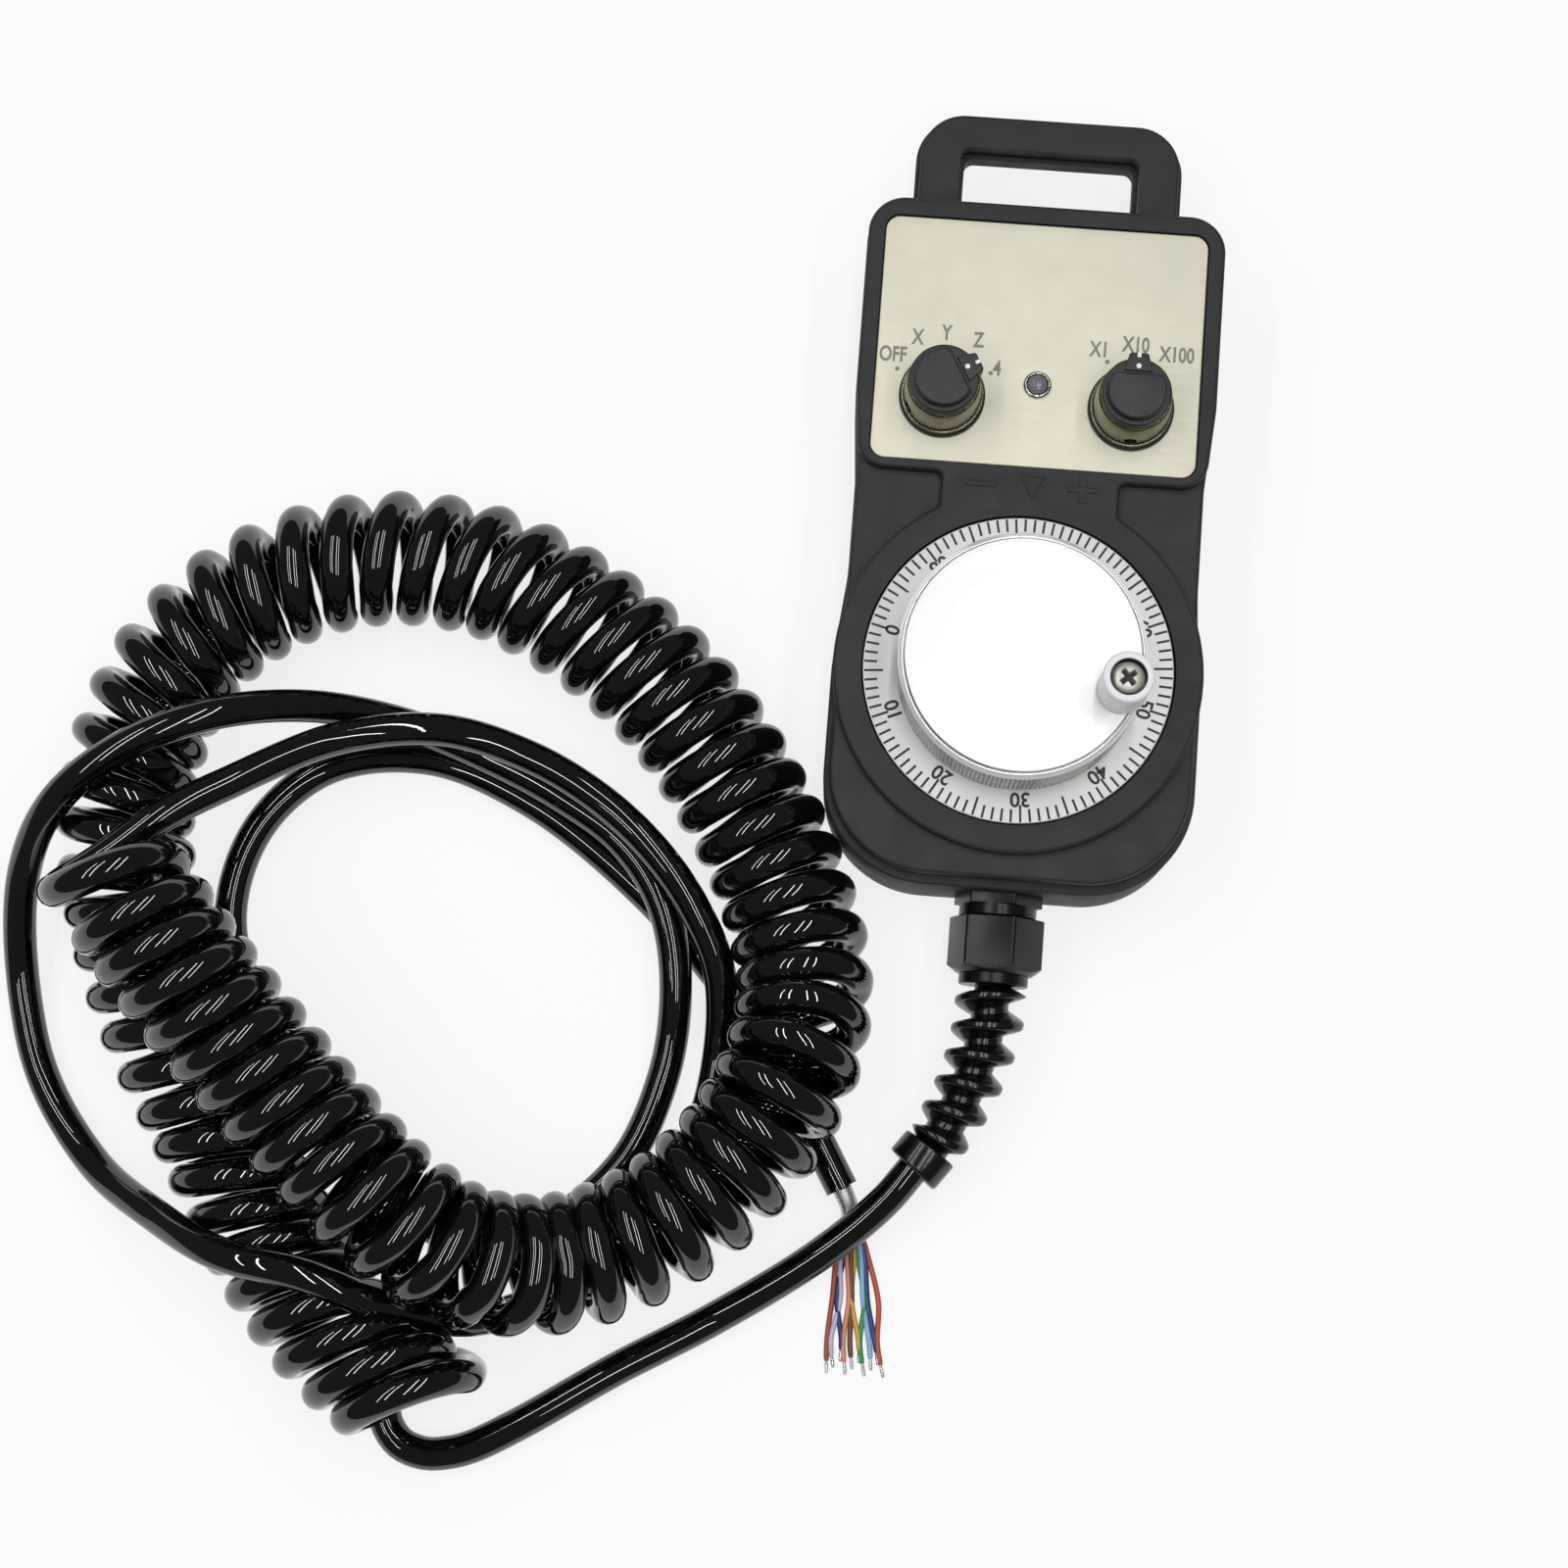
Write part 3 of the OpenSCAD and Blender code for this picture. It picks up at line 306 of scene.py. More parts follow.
    # Encoder's can, stove-enamelled steel: even grey with a low sheen
    moulded("steel_painted_encoder", "#8f9498", 0.5, 0.01, 0.35, 0.5, 0.06, Metallic=0.6)
    # Wafer switches, phenolic moulded: dense blue, faintly mottled
    moulded("phenolic_moulded_blue", "#2f4a6b", 0.5, 0.01, 0.4, 0.55, 0.08)
    # Circuit board, glass cloth in green epoxy: the weave shows as grain
    moulded("glass_epoxy_board", "#1f5c3a", 0.4, 0.01, 0.3, 0.45, 0.12)
    # Terminal block, polyamide: matt green
    moulded("polyamide_terminal_green", "#3f7f4f", 0.5, 0.01, 0.4, 0.5, 0.06)
    # Indicator dome, cast diffusing epoxy: cloudy lilac grey under a clear skin
    tree, shader = start_material(
        "epoxy_cast_smoked", "#8f8b96", Roughness=0.06, IOR=1.55, Transmission_Weight=0.35, Coat_Weight=0.3
    )
    surface(tree, shader, noise(tree, 1.5, place(tree)), 0.01)


def dress(obj, name):
    """Puts one finish on every slot of an object."""
    if obj.material_slots:
        for slot in obj.material_slots:
            slot.material = MATERIALS[name]
    else:
        obj.data.materials.append(MATERIALS[name])


# ---- Mesh helpers --------------------------------------------------------------


def piece(name, solid, finish, slot, **how):
    """A new piece from points in millimetres and their faces, in the part's frame."""
    mesh = bpy.data.meshes.new(name)
    mesh.from_pydata([Vector(v) * MM for v in solid[0]], [], solid[1])
    return own(name, mesh, finish, slot, **how)


def own(name, mesh, finish, slot, node=None, sharp=35, body="housing"):
    """Links a mesh as a piece with its finish, shading and body, and hides the node it stands for; its slot is
    not used.
    """
    work = bmesh.new()
    work.from_mesh(mesh)
    bmesh.ops.remove_doubles(work, verts=work.verts, dist=WELD)
    bmesh.ops.recalc_face_normals(work, faces=work.faces)
    work.to_mesh(mesh)
    work.free()
    mesh.polygons.foreach_set("use_smooth", [True] * len(mesh.polygons))
    mesh.set_sharp_from_angle(angle=math.radians(sharp))
    obj = bpy.data.objects.new(name, mesh)
    bpy.context.scene.collection.objects.link(obj)
    dress(obj, finish)
    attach(obj, body)
    if node:
        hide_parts(node)
    return obj


def polar(r, angle, centre=(0, 0)):
    """A point at a radius and an angle in radians round a centre."""
    return centre[0] + r * math.cos(angle), centre[1] + r * math.sin(angle)


def full_turn(count):
    """Angles of equal steps round a circle, in radians."""
    return [math.tau * j / count for j in range(count)]


def quarter(steps):
    """Angles from 0 to just under a right angle."""
    return [math.pi / 2 * k / steps for k in range(steps)]


def skin(rings):
    """A solid whose skin runs through rings of equal count, capped at both ends."""
    n = len(rings[0])
    faces = []
    for i in range(len(rings) - 1):
        for j in range(n):
            k = (j + 1) % n
            faces.append((i * n + j, i * n + k, (i + 1) * n + k, (i + 1) * n + j))
    faces.append(tuple(range(n - 1, -1, -1)))
    faces.append(tuple((len(rings) - 1) * n + j for j in range(n)))
    return [p for ring in rings for p in ring], faces


def lathe(profile, centre=(0, 0), count=96):
    """A solid of revolution from [radius, height] points round a vertical axis."""
    verts, faces, rows = [], [], []
    for r, z in profile:
        if r < ON_AXIS:
            rows.append([len(verts)] * count)
            verts.append((centre[0], centre[1], z))
        else:
            rows.append(list(range(len(verts), len(verts) + count)))
            verts += [(*polar(r, a, centre), z) for a in full_turn(count)]
    pairs = list(zip(rows, rows[1:]))
    if profile[0][0] > ON_AXIS or profile[-1][0] > ON_AXIS:
        pairs.append((rows[-1], rows[0]))
    for low, high in pairs:
        for j in range(count):
            k = (j + 1) % count
            face = []
            for v in (low[j], low[k], high[k], high[j]):
                if v not in face:
                    face.append(v)
            if len(face) > 2:
                faces.append(tuple(face))
    return verts, faces


# Half the angle at a point beyond which it needs no arc
NEARLY_STRAIGHT = math.radians(89.5)


def fillet(points, steps=5, closed=False):
    """Rounds each point [x, y, radius] of a line or outline by an arc."""
    out, n = [], len(points)
    for i, (x, y, r) in enumerate(points):
        if r <= 0 or (not closed and i in (0, n - 1)):
            out.append((x, y))
            continue
        c = Vector((x, y))
        a = (Vector(points[i - 1][:2]) - c).normalized()
        b = (Vector(points[(i + 1) % n][:2]) - c).normalized()
        half = math.acos(max(-1, min(1, a.dot(b)))) / 2
        if half > NEARLY_STRAIGHT:
            out.append((x, y))
            continue
        m = c + (a + b).normalized() * r / math.sin(half)
        s, e = c + a * r / math.tan(half) - m, c + b * r / math.tan(half) - m
        start = math.atan2(s.y, s.x)
        turn = (math.atan2(e.y, e.x) - start + 3 * math.pi) % math.tau - math.pi
        out += [polar(r, start + turn * k / steps, m) for k in range(steps + 1)]
    return [p for i, p in enumerate(out) if (i == 0 and not closed) or math.dist(p, out[i - 1]) > SAME]


def mirrored(half):
    """A symmetric outline from its right half, lowest point first."""
    return half + [(-x, y, r) for x, y, r in reversed(half)]


def oblong(wide, deep, x=0, y=0):
    """Outline of a rectangle round a point."""
    return [(x + i * wide / 2, y + j * deep / 2) for i, j in ((-1, -1), (1, -1), (1, 1), (-1, 1))]


# Keeps the sharpest corners of an outline from running away when it moves inward
SHARPEST = 0.6


def inward(points, d):
    """A dense outline moved inward."""
    out, n = [], len(points)
    for i in range(n):
        p, c, q = Vector(points[i - 1]), Vector(points[i]), Vector(points[(i + 1) % n])
        a, b = (c - p).normalized(), (q - c).normalized()
        left, left_after = Vector((-a.y, a.x)), Vector((-b.y, b.x))
        out.append(tuple(c + (left + left_after) * d / max(SHARPEST, 1 + left.dot(left_after))))
    return out


def plate(outline, levels):
    """A solid whose outline is carried through [height, inset] levels."""
    return skin([[(x, y, z) for x, y in inward(outline, d)] for z, d in levels])


def round_over(z, r, steps=5):
    """Levels that round a top edge of radius r at height z."""
    return [(z - r + r * math.sin(a), r - r * math.cos(a)) for a in quarter(steps) + [math.pi / 2]]


def round_under(z, r, steps=5):
    """Levels that round a bottom edge."""
    return [(2 * z - h, d) for h, d in reversed(round_over(z, r, steps))]


def shifted(solid, x=0.0, y=0.0, turn=0.0):
    """Turns a solid about the origin, then moves it."""
    move = Matrix.Translation((x, y, 0)) @ Matrix.Rotation(math.radians(turn), 4, "Z")
    return [tuple(move @ Vector(v)) for v in solid[0]], solid[1]


def drum(r, z0, z1, x=0.0, y=0.0, count=64):
    """A plain cylinder for cutting."""
    return lathe([(0, z0), (r, z0), (r, z1), (0, z1)], (x, y), count)


# What a solid does to the one that is being carved
JOIN, CUT, TRIM = "UNION", "DIFFERENCE", "INTERSECT"


def carved(name, base, steps, finish, slot, **how):
    """A piece from a base solid and (operation, solid) steps."""
    def loose(tag, solid):
        mesh = bpy.data.meshes.new(tag)
        mesh.from_pydata([Vector(v) for v in solid[0]], [], solid[1])
        work = bmesh.new()
        work.from_mesh(mesh)
        bmesh.ops.recalc_face_normals(work, faces=work.faces)
        work.to_mesh(mesh)
        work.free()
        obj = bpy.data.objects.new(tag, mesh)
        bpy.context.scene.collection.objects.link(obj)
        return obj

    block = loose(name, base)
    tools = []
    for operation, solid in steps:
        tool = loose(name + "_tool", solid)
        tools.append(tool)
        cut = block.modifiers.new("carve", "BOOLEAN")
        cut.operation, cut.object, cut.solver = operation, tool, "EXACT"
    graph = bpy.context.evaluated_depsgraph_get()
    mesh = bpy.data.meshes.new_from_object(block.evaluated_get(graph))
    for obj in [block] + tools:
        bpy.data.objects.remove(obj)
    mesh.transform(Matrix.Scale(MM, 4))
    mesh.materials.clear()
    mesh.name = name
    return own(name, mesh, finish, slot, **how)


# Height of the built-in font's capitals as a share of its size, and the thickness of ink in millimetres
CAPITALS = 0.69
INK = 0.03


def put(x, y, z, turn=0.0, scale=(1, 1, 1)):
    """Scales a shape in millimetres, turns it and puts it in its place in the frame."""
    return (
        Matrix.Scale(MM, 4)
        @ Matrix.Translation((x, y, z))
        @ Matrix.Rotation(math.radians(turn), 4, "Z")
        @ Matrix.Diagonal((*scale, 1))
    )


def lettering(items, height, bold, squeeze=1.0):
    """Solid print from (text, x, y, z, turn) items, in millimetres."""
    work = bmesh.new()
    for text, x, y, z, turn in items:
        curve = bpy.data.curves.new("letters", "FONT")
        curve.body, curve.size = text, height / CAPITALS
        curve.align_x, curve.align_y = "CENTER", "CENTER"
        curve.extrude, curve.offset = INK / 2, bold
        curve.resolution_u = 4
        obj = bpy.data.objects.new("letters", curve)
        bpy.context.scene.collection.objects.link(obj)
        mesh = bpy.data.meshes.new_from_object(obj.evaluated_get(bpy.context.evaluated_depsgraph_get()))
        mesh.transform(put(x, y, z + INK / 2, turn, (squeeze, 1, 1)))
        work.from_mesh(mesh)
        bpy.data.objects.remove(obj)
        bpy.data.meshes.remove(mesh)
        bpy.data.curves.remove(curve)
    return work


def add_bar(work, x, y, foot, long, wide, turn, thick=INK):
    """Adds a thin bar to print."""
    bmesh.ops.create_cube(work, size=1, matrix=put(x, y, foot + thick / 2, turn, (long, wide, thick)))


def add_dot(work, x, y, foot, r, thick=INK):
    """Adds a round dot to print."""
    move = put(x, y, foot + thick / 2)
    bmesh.ops.create_cone(work, cap_ends=True, segments=24, radius1=r, radius2=r, depth=thick, matrix=move)


def printed(name, work, finish, slot, body="housing"):
    """Turns print into a piece."""
    mesh = bpy.data.meshes.new(name)
    work.to_mesh(mesh)
    work.free()
    return own(name, mesh, finish, slot, sharp=30, body=body)


# ---- Lines through space -------------------------------------------------------


def through(points, step):
    """A smooth line through points at about one step, timed by the square root of each chord."""
    points = [Vector(p) for p in points]
    out = []
    for i in range(len(points) - 1):
        p1, p2 = points[i], points[i + 1]
        p0 = points[i - 1] if i else p1 * 2 - p2
        p3 = points[i + 2] if i + 2 < len(points) else p2 * 2 - p1
        t01, t12, t23 = ((b - a).length ** 0.5 or 1e-6 for a, b in ((p0, p1), (p1, p2), (p2, p3)))
        m1 = (p2 - p1) + ((p1 - p0) / t01 - (p2 - p0) / (t01 + t12)) * t12
        m2 = (p2 - p1) + ((p3 - p2) / t23 - (p3 - p1) / (t12 + t23)) * t12
        count = max(1, round((p2 - p1).length / step))
        for k in range(count):
            t = k / count
            out.append(
                p1 * (2 * t**3 - 3 * t**2 + 1) + m1 * (t**3 - 2 * t**2 + t)
                + p2 * (3 * t**2 - 2 * t**3) + m2 * (t**3 - t**2)
            )
    out.append(points[-1])
    return out


def lengths(line):
    """Distance along a line at each of its points."""
    out = [0.0]
    for a, b in zip(line, line[1:]):
        out.append(out[-1] + (b - a).length)
    return out


def at(line, run, s):
    """Point and direction at a distance along a line."""
    low, high = 0, len(run) - 1
    while high - low > 1:
        mid = (low + high) // 2
        low, high = (mid, high) if run[mid] <= s else (low, mid)
    share = (s - run[low]) / max(1e-9, run[high] - run[low])
    back, fore = line[max(0, low - 1)], line[min(len(line) - 1, high + 1)]
    return line[low].lerp(line[high], share), (fore - back).normalized()


def across(line, i):
    """Sideways and upward directions across a line at one of its points."""
    ahead = (line[min(i + 1, len(line) - 1)] - line[max(i - 1, 0)]).normalized()
    side = ahead.cross(UP).normalized()
    return side, side.cross(ahead)


def between(stops, t):
    """Reads a smooth value off (position, value) stops."""
    for (a, va), (b, vb) in zip(stops, stops[1:]):
        if t <= b:
            x = max(0.0, (t - a) / (b - a))
            return va + (vb - va) * x * x * (3 - 2 * x)
    return stops[-1][1]


# Middle line of the strain relief, leaving the gland's nut, bending to the left and sinking
RELIEF_BEND = 72.0
RELIEF_SINK = 3.2
RELIEF_LENGTH = 42.7
COLLAR_LENGTH = 7.0
RELIEF_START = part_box("gland_nut")[0].y / MM


def relief_at(s):
    """Point on the relief's middle line."""
    a = s / RELIEF_BEND
    return Vector((
        -RELIEF_BEND * (1 - math.cos(a)),
        RELIEF_START - RELIEF_BEND * math.sin(a),
        GLAND_HEIGHT - RELIEF_SINK * s / (RELIEF_LENGTH + COLLAR_LENGTH),
    ))


def round_relief(s, r, angle):
    """Point at a radius and an angle round the relief's middle line."""
    a = s / RELIEF_BEND
    side = Vector((-math.cos(a), math.sin(a), 0))
    return relief_at(s) + r * (math.cos(angle) * side - math.sin(angle) * UP)


# Height of the cable's middle where it lies on the floor
LIES = 0.0042
# The cord's route in metres, as it lies: tail, middle line of the curls, and lead
TAIL = [
    (-0.023, -0.164, 0.012), (-0.038, -0.178, 0.008), (-0.062, -0.195, LIES), (-0.085, -0.209, LIES),
    (-0.1068, -0.2235, LIES), (-0.1185, -0.2302, LIES), (-0.1240, -0.2320, LIES),
    (-0.1295, -0.2326, LIES), (-0.1358, -0.2306, LIES), (-0.1398, -0.2254, LIES),
    (-0.1401, -0.2188, LIES), (-0.1366, -0.2132, LIES), (-0.1314, -0.2108, LIES),
    (-0.1265, -0.2104, 0.0050), (-0.1218, -0.2109, 0.0086), (-0.1193, -0.2115, 0.0145),
    (-0.1184, -0.2119, 0.0220), (-0.1185, -0.2121, 0.0285),
]
CURLS = [
    (-0.1305, -0.2190, 0.027), (-0.1515, -0.2038, 0.0228), (-0.170, -0.183, 0.018),
    (-0.184, -0.160, 0.017), (-0.198, -0.138, 0.017), (-0.209, -0.115, 0.017), (-0.216, -0.090, 0.017),
    (-0.215, -0.064, 0.017), (-0.204, -0.039, 0.017), (-0.184, -0.022, 0.017), (-0.158, -0.014, 0.017),
    (-0.131, -0.016, 0.017), (-0.105, -0.028, 0.017), (-0.083, -0.045, 0.017), (-0.066, -0.066, 0.017),
    (-0.053, -0.089, 0.017), (-0.046, -0.112, 0.020), (-0.048, -0.134, 0.026), (-0.059, -0.156, 0.026),
    (-0.077, -0.174, 0.026), (-0.099, -0.184, 0.028), (-0.120, -0.184, 0.038), (-0.140, -0.173, 0.045),
    (-0.158, -0.157, 0.046), (-0.175, -0.140, 0.048), (-0.192, -0.122, 0.051), (-0.212, -0.099, 0.052),
]
LEAD = [
    (-0.2242, -0.1062, 0.0462), (-0.2228, -0.1035, 0.0418), (-0.2165, -0.0980, 0.0395),
    (-0.2025, -0.0858, 0.0390), (-0.189, -0.0765, 0.035), (-0.165, -0.062, 0.026),
    (-0.140, -0.057, 0.021), (-0.118, -0.062, 0.0215), (-0.100, -0.071, 0.022), (-0.086, -0.082, 0.022),
    (-0.075, -0.095, 0.0195), (-0.067, -0.111, 0.014), (-0.066, -0.133, 0.0065), (-0.070, -0.152, LIES),
    (-0.080, -0.170, LIES), (-0.098, -0.189, 0.006), (-0.118, -0.199, 0.017), (-0.139, -0.197, 0.032),
    (-0.159, -0.191, 0.039), (-0.178, -0.188, 0.037), (-0.198, -0.180, 0.023), (-0.217, -0.169, 0.009),
    (-0.233, -0.149, LIES), (-0.2408, -0.124, 0.006), (-0.240, -0.100, 0.018), (-0.230, -0.083, 0.033),
    (-0.214, -0.070, 0.039), (-0.194, -0.060, 0.037), (-0.172, -0.054, 0.024), (-0.150, -0.055, 0.013),
    (-0.128, -0.062, 0.013), (-0.110, -0.070, 0.0135), (-0.094, -0.080, 0.0135),
    (-0.083, -0.094, 0.0135), (-0.078, -0.112, 0.010), (-0.079, -0.136, LIES), (-0.088, -0.160, LIES),
    (-0.108, -0.177, LIES), (-0.134, -0.178, LIES), (-0.158, -0.159, LIES), (-0.177, -0.135, LIES),
    (-0.1905, -0.108, LIES), (-0.1865, -0.0835, LIES), (-0.1705, -0.0665, LIES), (-0.145, -0.062, LIES),
    (-0.118, -0.071, LIES), (-0.090, -0.090, LIES), (-0.067, -0.112, LIES), (-0.049, -0.135, LIES),
    (-0.033, -0.161, LIES),
]
# How far the turns lean forward along the curly part, in degrees
LEAN = [(0.0, 24), (0.03, 21), (0.055, 15), (0.09, 10), (0.2, 10), (0.45, 3), (0.6, -7),
        (0.75, -4), (1.0, 4)]
# Pitch along the curly part, relative to the mean
PITCH = [(0.0, 1.0), (0.15, 1.0), (0.38, 1.12), (0.55, 0.98), (0.7, 1.0), (0.82, 1.04),
         (0.9, 0.95), (0.985, 0.93), (1.0, 1.9)]
# Where on its turn the cable joins the curls and leaves them, in degrees from the top
FIRST_ANGLE = 300
LAST_ANGLE = 90
# Points of a turn, the degrees between them, and the metres between points of the whole line
TURN_POINTS = 24
TURN_STEP = 360 // TURN_POINTS
LINE_STEP = 0.0018


def cord_line(sizes):
    """The cable's middle line from the collar to the cut end, in metres."""
    chance = random.Random(5)
    axis = through(CURLS, 0.002)
    run = lengths(axis)
    steps = sizes.turns * TURN_POINTS + (LAST_ANGLE - FIRST_ANGLE) // TURN_STEP
    # Equal steps of angle take unequal steps of length, so the pitch varies
    stretch = [between(PITCH, (k + 0.5) / steps) for k in range(steps)]
    scale = run[-1] / sum(stretch)
    s, wander, helix = 0.0, 0.0, []
    for k in range(steps + 1):
        angle = math.radians(FIRST_ANGLE + TURN_STEP * k)
        point, ahead = at(axis, run, min(run[-1], s))
        left = UP.cross(ahead).normalized()
        up = ahead.cross(left).normalized()
        # The lean wanders slowly by a few degrees, not yet in the first two turns
        wander = 0.97 * wander + 0.03 * chance.uniform(-1, 1) * min(1.0, k / (2 * TURN_POINTS))
        lean = math.tan(math.radians(between(LEAN, k / steps) + 12 * wander))
        helix.append(point + sizes.curl * (math.cos(angle) * up + math.sin(angle) * (left + ahead * lean)))
        if k < steps:
            s += stretch[k] * scale
    # It starts a little inside the relief and leaves by the collar, and never sinks into the floor
    start = [relief_at(RELIEF_LENGTH - 4) * MM, relief_at(RELIEF_LENGTH + COLLAR_LENGTH) * MM]
    lowest = sizes.cable / 2 + 0.0001
    return [
        Vector((p.x, p.y, max(p.z, lowest))) for p in through(start + TAIL + helix + LEAD, LINE_STEP)
    ]


# ---- Stage ---------------------------------------------------------------------

# The camera's place in metres, its turn in radians, and its focal length and film in millimetres
CAMERA_PLACE = (-0.035494, -0.171602, 0.735489)
CAMERA_TURN = (0.150921, 0.015012, 0.077810)
FOCAL_LENGTH = 67.5
FILM_WIDTH = 36
# The floor's height, a hair under the object, and its width
FLOOR_LEVEL = -0.0003
FLOOR_WIDTH = 12
# What of the floor glows by itself where it is seen, so that it is white and still takes a shadow
FLOOR_GLOW = 0.8
# The room's strength in the colours and in the gloss, and where it is seen as white
ROOM_COLOUR, ROOM_GLOSS, ROOM_SEEN = 0.22, 0.1, 1.0
# Tubes: their places from left to right, width and length in metres, and power in watts
TUBES = (-0.93, -0.57, 0.07, 0.43)
TUBE_SIZE = (0.04, 1.6)
TUBE_POWER = 4.15
SOFTBOX_SIZE = (1.5, 1.2)
SOFTBOX_POWER = 1.2
WHITE = (1, 1, 1, 1)


class HANDWHEEL_OT_stage(bpy.types.Operator):
    """Camera, pale floor and soft studio light"""

    bl_idname = "handwheel.stage"
    bl_label = "Stage"

    def execute(self, context):
        scene = context.scene
        scene.view_settings.view_transform = "Standard"
        lens = bpy.data.cameras.new("camera")
        lens.lens, lens.sensor_width = FOCAL_LENGTH, FILM_WIDTH
        camera = bpy.data.objects.new("camera", lens)
        camera.location, camera.rotation_euler = CAMERA_PLACE, CAMERA_TURN
        scene.collection.objects.link(camera)
        scene.camera = camera

        floor = bpy.data.materials.new("floor_paper_white")
        floor.use_nodes = True
        tree = floor.node_tree
        tree.nodes.clear()
        seen = self.seen(tree)
        paper = add_node(tree, "ShaderNodeBsdfDiffuse", {"Color": hex_colour("#fdfdfd")}).outputs[0]
        glow = add_node(tree, "ShaderNodeEmission", {"Color": WHITE, "Strength": 1.0}).outputs[0]
        share = add_node(tree, "ShaderNodeMath", {"operation": "MULTIPLY", 1: FLOOR_GLOW}, {0: seen})
        mix = add_node(tree, "ShaderNodeMixShader", {}, {0: share.outputs[0], 1: paper, 2: glow})
        add_node(tree, "ShaderNodeOutputMaterial", {}, {"Surface": mix.outputs[0]})
        mesh = bpy.data.meshes.new("floor")
        corners = [(x, y, FLOOR_LEVEL) for x, y in oblong(FLOOR_WIDTH, FLOOR_WIDTH)]
        mesh.from_pydata(corners, [], [(0, 1, 2, 3)])
        mesh.materials.append(floor)
        ground = bpy.data.objects.new("floor", mesh)
        scene.collection.objects.link(ground)

        world = bpy.data.worlds.new("studio")
        scene.world = world
        world.use_nodes = True
        tree = world.node_tree
        tree.nodes.clear()
        path = add_node(tree, "ShaderNodeLightPath").outputs
        dim, dark, white = (
            add_node(tree, "ShaderNodeBackground", {"Color": WHITE, "Strength": strength}).outputs[0]
            for strength in (ROOM_COLOUR, ROOM_GLOSS, ROOM_SEEN)
        )
        room = dim
        for ray, light in (("Is Glossy Ray", dark), ("Is Camera Ray", white)):
            room = add_node(tree, "ShaderNodeMixShader", {}, {0: path[ray], 1: room, 2: light}).outputs[0]
        add_node(tree, "ShaderNodeOutputWorld", {}, {"Surface": room})

        # Two pairs of tubes in a dark room draw the highlights, and a softbox evens the colours
        for i, x in enumerate(TUBES):
            self.lamp(scene, "tube_%d" % i, (x, 0.05, 1.3), (x, 0.05, 0), TUBE_SIZE, TUBE_POWER, True)
        self.lamp(scene, "softbox", (-0.05, 0.2, 1.5), (-0.05, -0.08, 0), SOFTBOX_SIZE, SOFTBOX_POWER, False)
        return {"FINISHED"}

    @staticmethod
    def seen(tree):
        """1 for what the camera sees, straight, mirrored or through glass."""
        path = add_node(tree, "ShaderNodeLightPath").outputs
        found = path["Is Camera Ray"]
        for ray in ("Is Glossy Ray", "Is Transmission Ray"):
            either = add_node(tree, "ShaderNodeMath", {"operation": "MAXIMUM"}, {0: found, 1: path[ray]})
            found = either.outputs[0]
        return found

    @staticmethod
    def lamp(scene, name, where, target, size, power, mirrored_in_gloss):
        """One rectangular lamp aimed at a point."""
        light = bpy.data.lights.new(name, "AREA")
        light.shape, light.energy = "RECTANGLE", power
        light.size, light.size_y = size
        obj = bpy.data.objects.new(name, light)
        obj.location = where
        obj.rotation_euler = (Vector(target) - Vector(where)).to_track_quat("-Z", "Y").to_euler()
        obj.visible_glossy = mirrored_in_gloss
        scene.collection.objects.link(obj)


class HANDWHEEL_OT_finishes(bpy.types.Operator):
    """Finishes for every piece and for the hidden mechanism"""

    bl_idname = "handwheel.finishes"
    bl_label = "Finishes"

    def execute(self, context):
        make_materials(context.scene.handwheel_colours)
        hidden = {
            "steel_zinc_plated": ("shell_screws", "grub_screw", "encoder_screws"),
            "phenolic_moulded_blue": ("switch_body",),
            "steel_ground": ("switch_shaft", "encoder_shaft"),
            "brass_nickel_plated": ("switch_nut",),
            "steel_painted_encoder": ("encoder_body",),
            "glass_epoxy_board": ("circuit_board",),
            "polyamide_terminal_green": ("terminal_block",),
            "polyurethane_extruded": ("inner_cable",),
            "nylon_moulded_gloss": ("gland_locknut",),
            "rubber_and_painted_shade": ("gland_seal",),
        }
        for name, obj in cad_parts.items():
            for finish, endings in hidden.items():
                if name.endswith(endings):
                    dress(obj, finish)
        return {"FINISHED"}


# ---- Cord ----------------------------------------------------------------------

# Colour of each core from left to right
CORES = ("#9c4a34", "#c9b8d6", "#22306e", "#d98b72", "#6d4630", "#d9a53c", "#3f8f4a", "#8fb7dc", "#26407e",
         "#b9503a")
CORE_RADIUS = 0.7
TIP_RADIUS = 0.45
# Radius of the screen where it leaves the jacket, and how much narrower it gets
SCREEN_RADIUS = 2.3
SCREEN_TAPER = 0.322
# Height of a core's middle line where it lies on the floor
CORE_LIES = 0.82
# Steps of a route, a millimetre each, that are stripped and tinned
STRIPPED = 3


